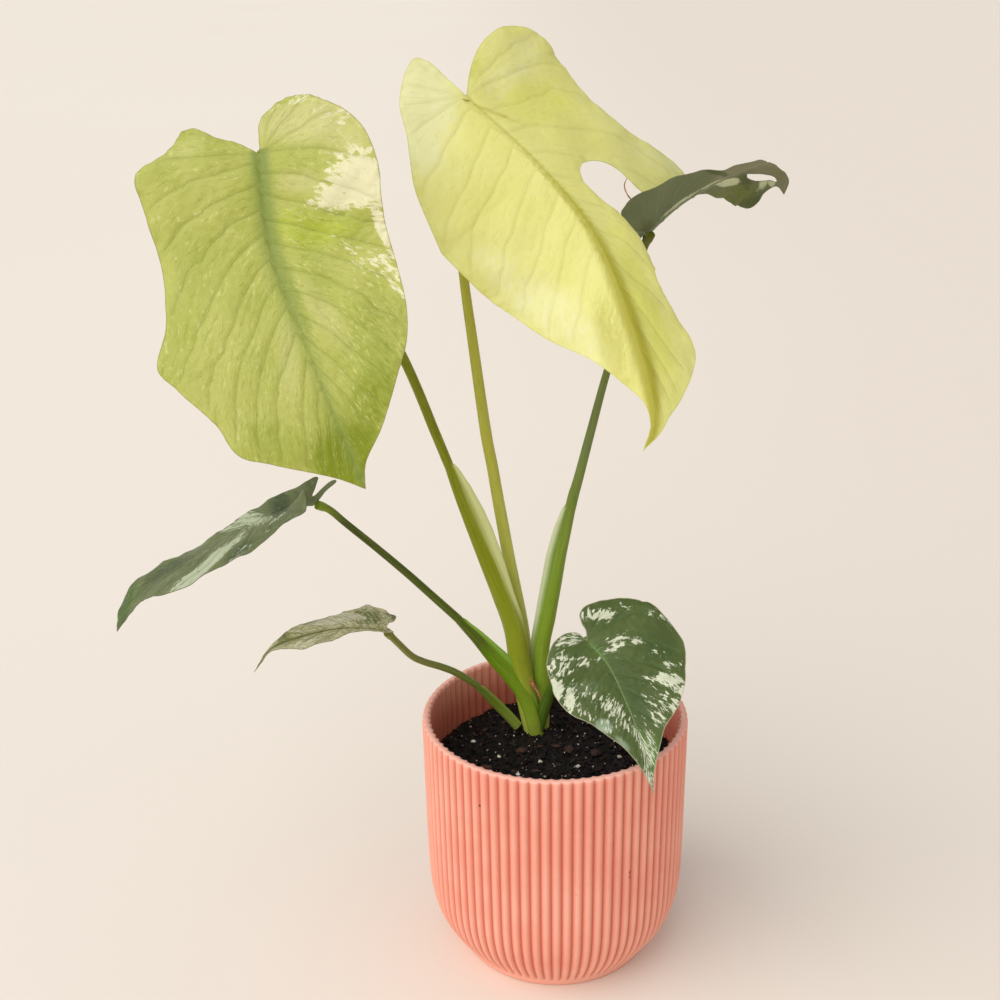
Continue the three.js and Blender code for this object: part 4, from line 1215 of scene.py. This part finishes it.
def build_soil(material):
    count = round(2 * math.pi * SOIL_RADIUS / SOIL_SPACING)
    turn = full_turn(count)
    loop = SOIL_RADIUS * np.column_stack([np.cos(turn), np.sin(turn)])
    flat, triangles, rim, _ = fill_outline(loop, SOIL_SPACING)
    top = np.column_stack([flat, rough_soil_height(*flat.T)])
    vertices, faces = [top], triangles.tolist()
    start, end = rim[:, 0], rim[:, 1]
    ring = {vertex: k for k, vertex in enumerate(start)}
    outer = np.arctan2(flat[start, 1], flat[start, 0])
    previous = dict(zip(start, start))
    first = len(top)
    for height, radius in SOIL_SIDE:
        vertices.append(rings_round(np.full((1, len(start)), radius), outer, np.array([height]))[0])
        below = {vertex: first + ring[vertex] for vertex in start}
        faces += [(previous[a], below[a], below[b], previous[b]) for a, b in zip(start, end)]
        previous = below
        first += len(start)
    vertices.append(np.array([[0, 0, SOIL_SIDE[-1][0]]]))
    faces += [(first, previous[b], previous[a]) for a, b in zip(start, end)]
    vertices = np.vstack(vertices)
    faces = [tuple(int(v) for v in face) for face in faces]
    tone = 0.5 + 0.5 * waves(vertices[:, 0], vertices[:, 1], 9, 51)
    return mesh_piece("potting_mix", vertices, faces, material, ["soil"], {"tone": tone})


def sphere_mesh(subdivisions):
    """Vertices and triangles of a unit icosphere."""
    shape = bmesh.new()
    bmesh.ops.create_icosphere(shape, subdivisions=subdivisions, radius=1)
    vertices = np.array([tuple(v.co) for v in shape.verts])
    faces = np.array([[v.index for v in f.verts] for f in shape.faces])
    shape.free()
    return vertices, faces


def random_turn(rng, tilt=math.pi):
    """A rotation matrix: any heading, and up to that much tilt."""
    heading = Matrix.Rotation(rng.uniform(0, 2 * math.pi), 3, "Z")
    lean = Matrix.Rotation(rng.uniform(-tilt, tilt), 3, "X")
    return np.array(lean @ heading)


def lump(ball, sizes, rng, unevenness):
    """An irregular lump: a sphere with dents at two scales, stretched to its half-sizes."""
    direction = ball @ random_turn(rng)
    x, y, z = direction.T
    bumps = waves(x + z, y - z, 1.6, rng.integers(1 << 30), 5)
    facets = np.abs(direction) ** 0.8
    facets = direction * (facets.max(axis=1, keepdims=True) ** 0.4)
    return facets * (1 + unevenness * bumps[:, None]) * np.asarray(sizes)


def scatter(name, count, sizes_of, tilt, sink, material, seed, unevenness=0.22, detail=2, reach=63):
    """Loose bits lying on the soil, joined in one piece. sizes_of gives each one's half-sizes."""
    rng = np.random.default_rng(seed)
    ball, triangles = sphere_mesh(detail)
    vertices, faces, tones = [], [], []
    while len(vertices) < count:
        x, y = rng.uniform(-reach, reach, 2)
        if math.hypot(x, y) > reach or math.hypot(x - CROWN[0], y - CROWN[1]) < STEM_RADIUS:
            continue
        sizes = sizes_of(rng)
        points = lump(ball, sizes, rng, unevenness) @ random_turn(rng, tilt)
        level = rough_soil_height(np.array(x), np.array(y))
        points += (x, y, level + min(sizes) * (1 - 2 * sink))
        faces.append(triangles + len(vertices) * len(ball))
        vertices.append(points)
        tones.append(np.full(len(ball), rng.uniform(0, 1)))
    return mesh_piece(name, np.vstack(vertices), np.vstack(faces).tolist(), material, (),
                      {"tone": np.concatenate(tones)})


def crumb_sizes(rng):
    size = CRUMB_SIZES[0] + (CRUMB_SIZES[1] - CRUMB_SIZES[0]) * rng.beta(1.3, 4.5)
    return size * rng.uniform(0.65, 1.2, 3)


def bark_bit_sizes(rng):
    length = 0.5 * rng.uniform(*BARK_BIT_LENGTHS)
    return np.array([length, length * rng.uniform(0.3, 0.65), length * rng.uniform(0.14, 0.28)])


def speck_sizes(rng):
    size = SPECK_SIZES[0] + (SPECK_SIZES[1] - SPECK_SIZES[0]) * rng.beta(1.4, 3.2)
    return size * rng.uniform(0.75, 1.2, 3)


def tube(line, radii, sides=6):
    """A closed tube along a line of points."""
    line = np.asarray(line, float)
    tangent = unit(np.gradient(line, axis=0))
    across = unit(np.cross(tangent, TUBE_SIDE))
    up = np.cross(across, tangent)
    turn = full_turn(sides)
    radii = np.broadcast_to(radii, len(line))
    rings = line[:, None] + radii[:, None, None] * (
        np.cos(turn)[None, :, None] * across[:, None] + np.sin(turn)[None, :, None] * up[:, None])
    return loft(rings[:, ::-1])


def build_fibres(material):
    """Thin dry fibres that curl out of the mix."""
    rng = np.random.default_rng(77)
    vertices, faces, total = [], [], 0
    for _ in range(FIBRE_COUNT):
        heading, bend = rng.uniform(0, 2 * math.pi), rng.uniform(-0.12, 0.12)
        radius, angle = 60 * math.sqrt(rng.uniform()), rng.uniform(0, 2 * math.pi)
        x, y = radius * math.cos(angle), radius * math.sin(angle)
        steps = int(rng.uniform(*FIBRE_LENGTHS))
        line = []
        for k in range(steps):
            x, y = x + math.cos(heading), y + math.sin(heading)
            heading += bend
            lift = 0.7 * math.sin(math.pi * k / (steps - 1)) + 0.15
            inward = min(1, 63 / max(math.hypot(x, y), 1))
            line.append((x * inward, y * inward, rough_soil_height(np.array(x), np.array(y)) + lift))
        points, sides = tube(line, rng.uniform(0.1, 0.2), 5)
        faces += [tuple(v + total for v in face) for face in sides]
        vertices.append(points)
        total += len(points)
    vertices = np.vstack(vertices)
    tone = np.full(len(vertices), 0.9)
    return mesh_piece("soil_fibres", vertices, faces, material, (), {"tone": tone})


def build_lump_at(node, name, material, seed, unevenness, shrink):
    """One irregular piece in the place and size of its node."""
    rng = np.random.default_rng(seed)
    low, high = (np.array(corner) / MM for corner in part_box(node))
    ball, triangles = sphere_mesh(4)
    half = (high - low) / 2 * shrink
    points = lump(ball, half, rng, unevenness)
    fine = waves(points[:, 0] + points[:, 2], points[:, 1], 1.1, seed + 1, 8)
    points *= 1 + 0.05 * fine[:, None]
    middle = (low + high) / 2
    points = np.clip(points, low - middle - LUMP_OVERHANG, high - middle + LUMP_OVERHANG) + middle
    return mesh_piece(name, points, triangles.tolist(), material, [node],
                      {"tone": np.full(len(points), rng.uniform(0.3, 1))})


def build_loose_pieces():
    perlite, bark = perlite_material(), bark_material()
    crumbs = soil_material("soil_crumbs", "050302", "20140d", 0.30)
    scatter("soil_crumbs", CRUMB_COUNT, crumb_sizes, math.pi, 0.25, crumbs, 21)
    scatter("bark_bits", BARK_BIT_COUNT, bark_bit_sizes, 0.5, 0.2, bark, 22, 0.16)
    scatter("perlite_specks", SPECK_COUNT, speck_sizes, math.pi, 0.1, perlite, 23, 0.16)
    build_fibres(bark)
    for k in range(1, PERLITE_COUNT + 1):
        build_lump_at(f"perlite_{k}", f"perlite_grain_{k}", perlite, 100 + k, 0.16, 0.82)
    for k in range(1, BARK_CHIP_COUNT + 1):
        build_lump_at(f"bark_chip_{k}", f"bark_piece_{k}", bark, 200 + k, 0.14, 0.95)


def build_stem():
    """The short stem, with the rings that fallen leaves leave."""
    rows = np.linspace(STEM_BOTTOM, STEM_TOP, STEM_ROWS)
    turn = full_turn(STEM_SIDES)
    part = (rows - STEM_BOTTOM) / (STEM_TOP - STEM_BOTTOM)
    scar, scar_turn = STEM_RING
    radius = STEM_RADIUS + (STEM_TOP_RADIUS - STEM_RADIUS) * part + scar * np.sin(rows * scar_turn)
    radius = radius[:, None] * (1 + STEM_LOBES * np.sin(3 * turn + 1)[None])
    vertices, faces = loft(rings_round(radius, turn, rows, CROWN))
    return mesh_piece("short_stem", vertices, faces, stem_material(), ["stem"])


# ---- stalks ----

def camera_axes():
    """The camera's right, up and forward directions."""
    pitch, roll = math.radians(CAMERA_PITCH), math.radians(CAMERA_ROLL)
    level_right = np.array((1, 0, 0))
    level_up = np.array((0, math.sin(pitch), math.cos(pitch)))
    right = math.cos(roll) * level_right + math.sin(roll) * level_up
    up = math.cos(roll) * level_up - math.sin(roll) * level_right
    return right, up, np.array((0, math.cos(pitch), -math.sin(pitch)))


def seen_at(picture_x, picture_y, depth):
    """The point of the upright plane Y = depth that the camera sees at a place in its picture."""
    right, up, forward = camera_axes()
    middle = IMAGE_PIXELS / 2
    ray = forward + (right * (picture_x - middle) - up * (picture_y - middle)) / FOCAL_PIXELS
    return np.array(CAMERA_PLACE) + ray * (depth - CAMERA_PLACE[1]) / ray[1]


def stalk_line(leaf, surface):
    """A stalk's middle line and its numbers, at even steps from the soil to just under the blade."""
    rows = [(*seen_at(*row[:3]), row[3], *(row[4:] or NO_WINGS)) for row in leaf["stalk"]]
    at_zero = np.zeros(1)
    joint = surface.points(at_zero, at_zero) - JOINT_DEPTH * surface.normals(at_zero, at_zero + 1.5)
    rows.append((*joint[0], rows[-1][3], *NO_WINGS))
    rows = np.array(rows)
    t = even_places(rows[:, :3], STALK_STEP)
    centre = catmull_rom(rows[:, :3], t)
    thickness, left, right, curl = (np.interp(t, np.arange(len(rows)), rows[:, k]) for k in range(3, 7))
    to_joint = lengths_along(centre[::-1])[::-1]
    thickness *= 1 + (JOINT_SWELLING - 1) * (1 - smoothstep(to_joint, 0.4 * JOINT_LENGTH, JOINT_LENGTH))
    return centre, thickness, left, right, np.radians(curl)


def section_places(thickness, left, right):
    """Distances across a section, from the right wing's edge over the round part to the left wing's."""
    radius = thickness[:, None] / 2
    right = np.maximum(right[:, None], radius + SMALLEST_WING)
    left = np.maximum(left[:, None], radius + SMALLEST_WING)
    step = np.arange(1, WING_SAMPLES + 1) / WING_SAMPLES
    over = radius * np.cos(np.linspace(0, math.pi, ROD_SAMPLES))[None]
    right_wing = radius + (right - radius) * step[::-1]
    left_wing = -(radius + (left - radius) * step)
    return np.hstack([right_wing, over, left_wing]), left, right


def stalk_rings(leaf, surface):
    """The cross-sections of a stalk and its sheath: a round rod with a thin, curled wing at either side."""
    centre, thickness, left, right, curl = stalk_line(leaf, surface)
    across_mm, left, right = section_places(thickness, left, right)
    radius = thickness[:, None] / 2
    reach = np.where(across_mm < 0, left, right)
    left_wing, right_wing = (smoothstep(side / radius, 1.15, 1.7) for side in (left, right))
    winged = left_wing + (right_wing - left_wing) * smoothstep(across_mm / radius, -1, 1)
    rod = np.sqrt(np.clip(radius**2 - across_mm**2, 0, None))
    soft_rod = radius * np.exp(-2.2 * (across_mm / radius) ** 2)
    sheet = WING_THICKNESS / 2 * np.sqrt(np.clip(1 - (np.abs(across_mm) / reach) ** 6, 0, None))
    outer = rod + (soft_rod - rod) * winged + sheet
    inner = rod + (0.15 * soft_rod - rod) * winged + sheet
    places = np.hstack([across_mm, across_mm[:, -2:0:-1]])
    lift = np.hstack([inner, -outer[:, -2:0:-1]])

    tangent = unit(np.gradient(centre, axis=0))
    across = unit(np.cross(np.array(leaf["sheath_facing"], float), tangent))
    up = np.cross(tangent, across)
    turn = places * curl[:, None]
    sideways = np.sin(turn) / curl[:, None] - lift * np.sin(turn)
    upwards = (1 - np.cos(turn)) / curl[:, None] + lift * np.cos(turn)
    rings = centre[:, None] + sideways[..., None] * across[:, None] + upwards[..., None] * up[:, None]

    length = lengths_along(centre)
    part = np.broadcast_to((length / length[-1])[:, None], places.shape)
    reach = np.where(places < 0, left, right)
    edge = np.clip((np.abs(places) - 0.75 * radius) / (reach - 0.75 * radius), 0, 1)
    winged = np.hstack([winged, winged[:, -2:0:-1]])
    along_mm = np.broadcast_to(length[:, None], places.shape)
    return rings, np.stack([part, edge, winged], 2), np.stack([places, along_mm, lift], 2)


def with_ends(values):
    """A row for each ring's points, and one more for the middle of each end."""
    return np.vstack([values.reshape(-1, 3), values[0, 0], values[-1, 0]])


def build_stalk(name, leaf):
    rings, stalk, grain = stalk_rings(leaf, LeafSurface(leaf))
    vertices, faces = loft(rings)
    attributes = {"stalk": with_ends(stalk), "grain": with_ends(grain)}
    return mesh_piece(f"petiole_{name}", vertices, faces, stalk_material(name, leaf),
                      [f"stalk_{name}"], attributes, sharp=75)


def build_dried_bits():
    """The dried edge of the front sheath, and a dry thread beside the upper right leaf."""
    material = dried_material()
    for name, rows in DRIED_BITS.items():
        points = np.array([(*seen_at(*row[:3]), row[3]) for row in rows])
        t = np.linspace(0, len(rows) - 1, 8 * len(rows))
        fine = catmull_rom(points, t)
        radii = fine[:, 3] * (1 + 0.15 * np.sin(5 * t))
        vertices, faces = tube(fine[:, :3], radii, 10)
        mesh_piece(name, vertices, faces, material)


# ---- leaves ----

class LeafSurface:
    """The bent surface of one leaf, and the way from its flat coordinates to space."""

    def __init__(self, leaf):
        points = np.array(leaf["midrib"], float)
        t = np.linspace(0, len(points) - 1, MIDRIB_DIVISIONS * (len(points) - 1) + 1)
        self.line = catmull_rom(points, t)
        length = lengths_along(self.line)
        self.along = length - length[MIDRIB_DIVISIONS]
        self.length = self.along[-1]
        self.tangents = np.gradient(self.line, axis=0)
        self.facing = np.array(leaf["facing"], float)
        self.halves = leaf["right"], leaf["left"]

    def points(self, across, along):
        """across is the distance from the midrib, right positive; along is the distance from the junction."""
        kept = np.clip(along, self.along[0], self.along[-1])
        middle = np.stack([np.interp(kept, self.along, self.line[:, k]) for k in range(3)], axis=1)
        tangent = unit(np.stack([np.interp(kept, self.along, self.tangents[:, k]) for k in range(3)], axis=1))
        middle += (along - kept)[:, None] * tangent
        sideways = unit(np.cross(self.facing, tangent))
        up = np.cross(tangent, sideways)
        right, left = (np.interp(along, np.linspace(0, self.length, len(half["folds"])), half["folds"])
                       for half in self.halves)
        fold = np.radians(np.where(across < 0, left, right))
        curvature = np.where(across < 0, self.halves[1]["bend"], self.halves[0]["bend"]) / 1000 + 1e-9
        reach = np.abs(across)
        x = np.sin(curvature * reach) / curvature
        y = (1 - np.cos(curvature * reach)) / curvature
        out = np.sign(across) * (x * np.cos(fold) - y * np.sin(fold))
        rise = x * np.sin(fold) + y * np.cos(fold)
        return middle + out[:, None] * sideways + rise[:, None] * up

    def normals(self, across, along):
        step = NORMAL_STEP
        sideways = self.points(across + step, along) - self.points(across - step, along)
        lengthways = self.points(across, along + step) - self.points(across, along - step)
        return unit(np.cross(lengthways, sideways))


def vein_start(across, along, length):
    """Where on the midrib the side vein through a point starts; below 0 in the fan of the basal lobes."""
    reach = np.abs(across)
    places = np.array(VEIN_PLACES) * length
    curves = np.array(VEIN_CURVES) / length

    def end(start):
        slant = np.interp(start, places, VEIN_SLANTS)
        curve = np.interp(start, places, curves)
        return start + slant * reach + curve * reach**2

    low, high = np.zeros_like(reach), np.full_like(reach, length)
    for _ in range(26):
        middle = (low + high) / 2
        past = end(middle) > along
        high = np.where(past, middle, high)
        low = np.where(past, low, middle)
    angle = np.arctan2(along - curves[0] * reach**2, np.maximum(reach, 1e-6))
    fan = FAN_LENGTH * length * (angle - math.atan(VEIN_SLANTS[0]))
    return np.where(end(np.zeros_like(reach)) > along, np.minimum(fan, 0), (low + high) / 2)


def vein_rows(across, along, leaf, length):
    """A place counted in side veins that waver, a whole number on each; and where the vein starts."""
    start = vein_start(across, along, length)
    reach = np.abs(across)
    rows = leaf["rows"] * np.clip(start / length, 0, 1) ** ROW_CROWDING
    rows += np.minimum(start, 0) / leaf["fan_spacing"]
    rows += np.where(across < 0, 0.5, 0) * smoothstep(reach, 0, 3)
    waver = waves(across, along, 0.30 * length, leaf["rows"] + 60) * smoothstep(reach, 0, 0.15 * length)
    waver += 0.35 * waves(across, along, 0.09 * length, leaf["rows"] + 80)
    return rows + VEIN_WAVER * waver, start


def vein_fields(flat, leaf, length):
    """For each point: its row, how far it is from the midrib along the vein, a row's width, and the start."""
    across, along = flat.T
    step = 0.3
    side = np.where(across < 0, -step, step)
    rows, start = vein_rows(across, along, leaf, length)
    up = vein_rows(across, along + step, leaf, length)[0] - rows
    out = vein_rows(across + side, along, leaf, length)[0] - rows
    slope = np.hypot(up, out) / step
    reach = np.hypot(across, along - np.maximum(start, 0))
    return rows, reach, 1 / np.clip(slope, 0.02, 2), start


def patch_field(flat, patches):
    """The strongest of some soft-edged ovals at each point."""
    field = np.zeros(len(flat))
    for across, along, half_length, half_width, angle, strength in patches:
        turn = math.radians(angle)
        x, y = flat[:, 0] - across, flat[:, 1] - along
        lengthways = (x * math.cos(turn) + y * math.sin(turn)) / half_length
        sideways = (y * math.cos(turn) - x * math.sin(turn)) / half_width
        far = np.hypot(lengthways, sideways)
        field = np.maximum(field, strength * np.exp(-far**3))
    return field


def leaf_loop(leaf, spacing):
    """The outline as one closed loop, up the right side to the tip and down the left."""
    sides = []
    for side, sign in (("right", 1), ("left", -1)):
        outline = leaf[side]["outline"]
        points = catmull_rom(outline, even_places(outline, spacing, False), False)
        sides.append(points * (sign, 1))
    return np.vstack([sides[0][:-1], sides[1][:0:-1]])


def blade_lift(leaf, flat, fields, rim_distance, seed):
    """How far the blade stands off its smooth surface: quilting between the veins and slight waves."""
    rows, reach, _, _ = fields
    across, along = flat.T
    inner = smoothstep(rim_distance, 0.5, 9) * smoothstep(reach, 1.5, 14)
    quilt = leaf["quilt"] * (np.abs(np.sin(math.pi * rows)) ** 0.75 - 0.45) * inner
    swell = np.sin(4 * math.pi * rows + 2 * waves(across, along, 12, seed + 3))
    quilt += 0.25 * leaf["quilt"] * swell * inner
    waving = 0.5 * waves(across, along, 26, seed) * smoothstep(reach, 2, 20)
    pucker = 0.35 * leaf["quilt"] * waves(across, along, 5.5, seed + 1) * inner
    margin = waves(across, along, 15, seed + 2) + 0.5 * waves(across, along, 6, seed + 4)
    margin = leaf["margin_waves"] * (1 - smoothstep(rim_distance, 0, 7)) * (margin - 0.4)
    return quilt + waving + pucker + margin


def blade_sides(leaf, flat, fields, rim_distance, part):
    """How far the upper and the lower face stand off the middle, with the midrib and the side veins."""
    rows, _, row_mm, _ = fields
    half = BLADE_THICKNESS / 2 * (0.45 + 0.55 * smoothstep(rim_distance, 0, 2.5))
    rib_width = leaf["look"]["rib_width"] * (1 - RIB_TAPER * part)
    rib = np.sqrt(np.clip(1 - (flat[:, 0] / rib_width) ** 2, 0, 1)) * smoothstep(rim_distance, 0, 3)
    off_vein = (0.5 - np.abs(rows % 1 - 0.5)) * row_mm
    vein = np.exp(-((off_vein / VEIN_WIDTH) ** 2)) * smoothstep(rim_distance, 1, 9)
    above = half - RIB_RISE[0] * rib_width * rib - VEIN_RISE[0] * vein
    below = half + RIB_RISE[1] * rib_width * rib + VEIN_RISE[1] * vein
    return above, below


def channel_field(leaf, flat, part):
    """How strongly the midrib's darker channel is painted at each point of the flat blade."""
    across, along = flat.T
    width, depth = (np.interp(part, np.linspace(0, 1, len(values)), values)
                    for values in zip(*leaf["channel"]))
    return depth * np.exp(-((across / width) ** 2)) * (along > -2)


def both_faces(*columns):
    return np.tile(np.column_stack(columns), (2, 1))


def blade_attributes(leaf, flat, fields, channel, rim_distance):
    """What the blade's material reads at each point of the upper face and then of the lower one."""
    rows, reach, row_mm, start = fields
    patches = {layer: patch_field(flat, leaf["patches"].get(layer, ())) for layer in PATCH_LAYERS}
    under = np.repeat([0.0, 1.0], len(flat))
    return {
        "flat": np.column_stack([np.tile(flat, (2, 1)), under]),
        "vein": both_faces(rows, reach, row_mm),
        "streak": both_faces(start, channel, rim_distance),
        "patch": both_faces(patches["cream"], patches["dark"], patches["tint"]),
        "lime": np.tile(patches["lime"], 2),
    }


def blade_faces(triangles, rim, count):
    """The upper face, the lower one whose points follow, and the rim between them."""
    faces = triangles[:, ::-1].tolist() + (triangles + count).tolist()
    return faces + [(a, b, b + count, a + count) for a, b in rim.tolist()]


def build_leaf(name, leaf, seed):
    surface = LeafSurface(leaf)
    spacing = leaf["spacing"]
    columns = [0] + [sign * x for x in RIB_COLUMNS for sign in (1, -1)]
    hole = None
    if "opening" in leaf:
        hole = catmull_rom(leaf["opening"], even_places(leaf["opening"], spacing, False), False)
    flat, triangles, rim, rim_distance = fill_outline(
        leaf_loop(leaf, spacing), spacing, columns, surface.length, hole)
    fields = vein_fields(flat, leaf, surface.length)
    normals = surface.normals(*flat.T)
    part = np.clip(flat[:, 1] / surface.length, 0, 1)
    lift = blade_lift(leaf, flat, fields, rim_distance, seed)
    middle = surface.points(*flat.T) + lift[:, None] * normals
    above, below = blade_sides(leaf, flat, fields, rim_distance, part)
    vertices = np.vstack([middle + above[:, None] * normals, middle - below[:, None] * normals])
    channel = channel_field(leaf, flat, part)
    attributes = blade_attributes(leaf, flat, fields, channel, rim_distance)
    return mesh_piece(f"blade_{name}", vertices, blade_faces(triangles, rim, len(flat)),
                      leaf_material(name, leaf), [f"leaf_{name}"], attributes, sharp=60)


# ---- camera, light and floor ----

def build_camera():
    right, up, forward = (Vector(axis) for axis in camera_axes())
    camera = add_object("camera", bpy.data.cameras.new("camera"))
    turned = Matrix((right, up, -forward)).transposed().to_4x4()
    camera.matrix_world = Matrix.Translation(Vector(CAMERA_PLACE) * MM) @ turned
    camera.data.sensor_width = SENSOR_WIDTH
    camera.data.lens = FOCAL_PIXELS * SENSOR_WIDTH / IMAGE_PIXELS
    camera.data.clip_start, camera.data.clip_end = 0.02, 60
    bpy.context.scene.camera = camera


def build_light():
    key = add_object("key_light", bpy.data.lights.new("key_light", "SUN"))
    key.rotation_mode = "QUATERNION"
    key.rotation_quaternion = Vector(KEY_FROM).to_track_quat("Z", "Y")
    key.data.energy = KEY_STRENGTH
    key.data.angle = math.radians(KEY_ANGLE)
    key.data.color = KEY_COLOUR
    world = bpy.data.worlds.new("soft_room")
    world.use_nodes = True
    background = world.node_tree.nodes["Background"]
    background.inputs["Color"].default_value = (*WORLD_COLOUR, 1)
    background.inputs["Strength"].default_value = WORLD_STRENGTH
    bpy.context.scene.world = world
    bpy.context.scene.view_settings.view_transform = "Standard"


def build_floor():
    mesh = bpy.data.meshes.new("floor")
    corners = [(FLOOR_RADIUS * math.cos(t), FLOOR_RADIUS * math.sin(t), -FLOOR_DEPTH * MM)
               for t in full_turn(FLOOR_CORNERS)]
    mesh.from_pydata(corners, [], [tuple(range(len(corners)))])
    mesh.materials.append(floor_material())
    add_object("floor", mesh)


# ---- the whole ----

build_camera()
build_light()
build_floor()
build_pot()
build_soil(soil_material("soil_mix", "040302", "170e09", 0.32))
build_loose_pieces()
build_stem()
build_dried_bits()
for number, (leaf_name, leaf_table) in enumerate(LEAVES.items()):
    build_stalk(leaf_name, leaf_table)
    build_leaf(leaf_name, leaf_table, 300 + 10 * number)
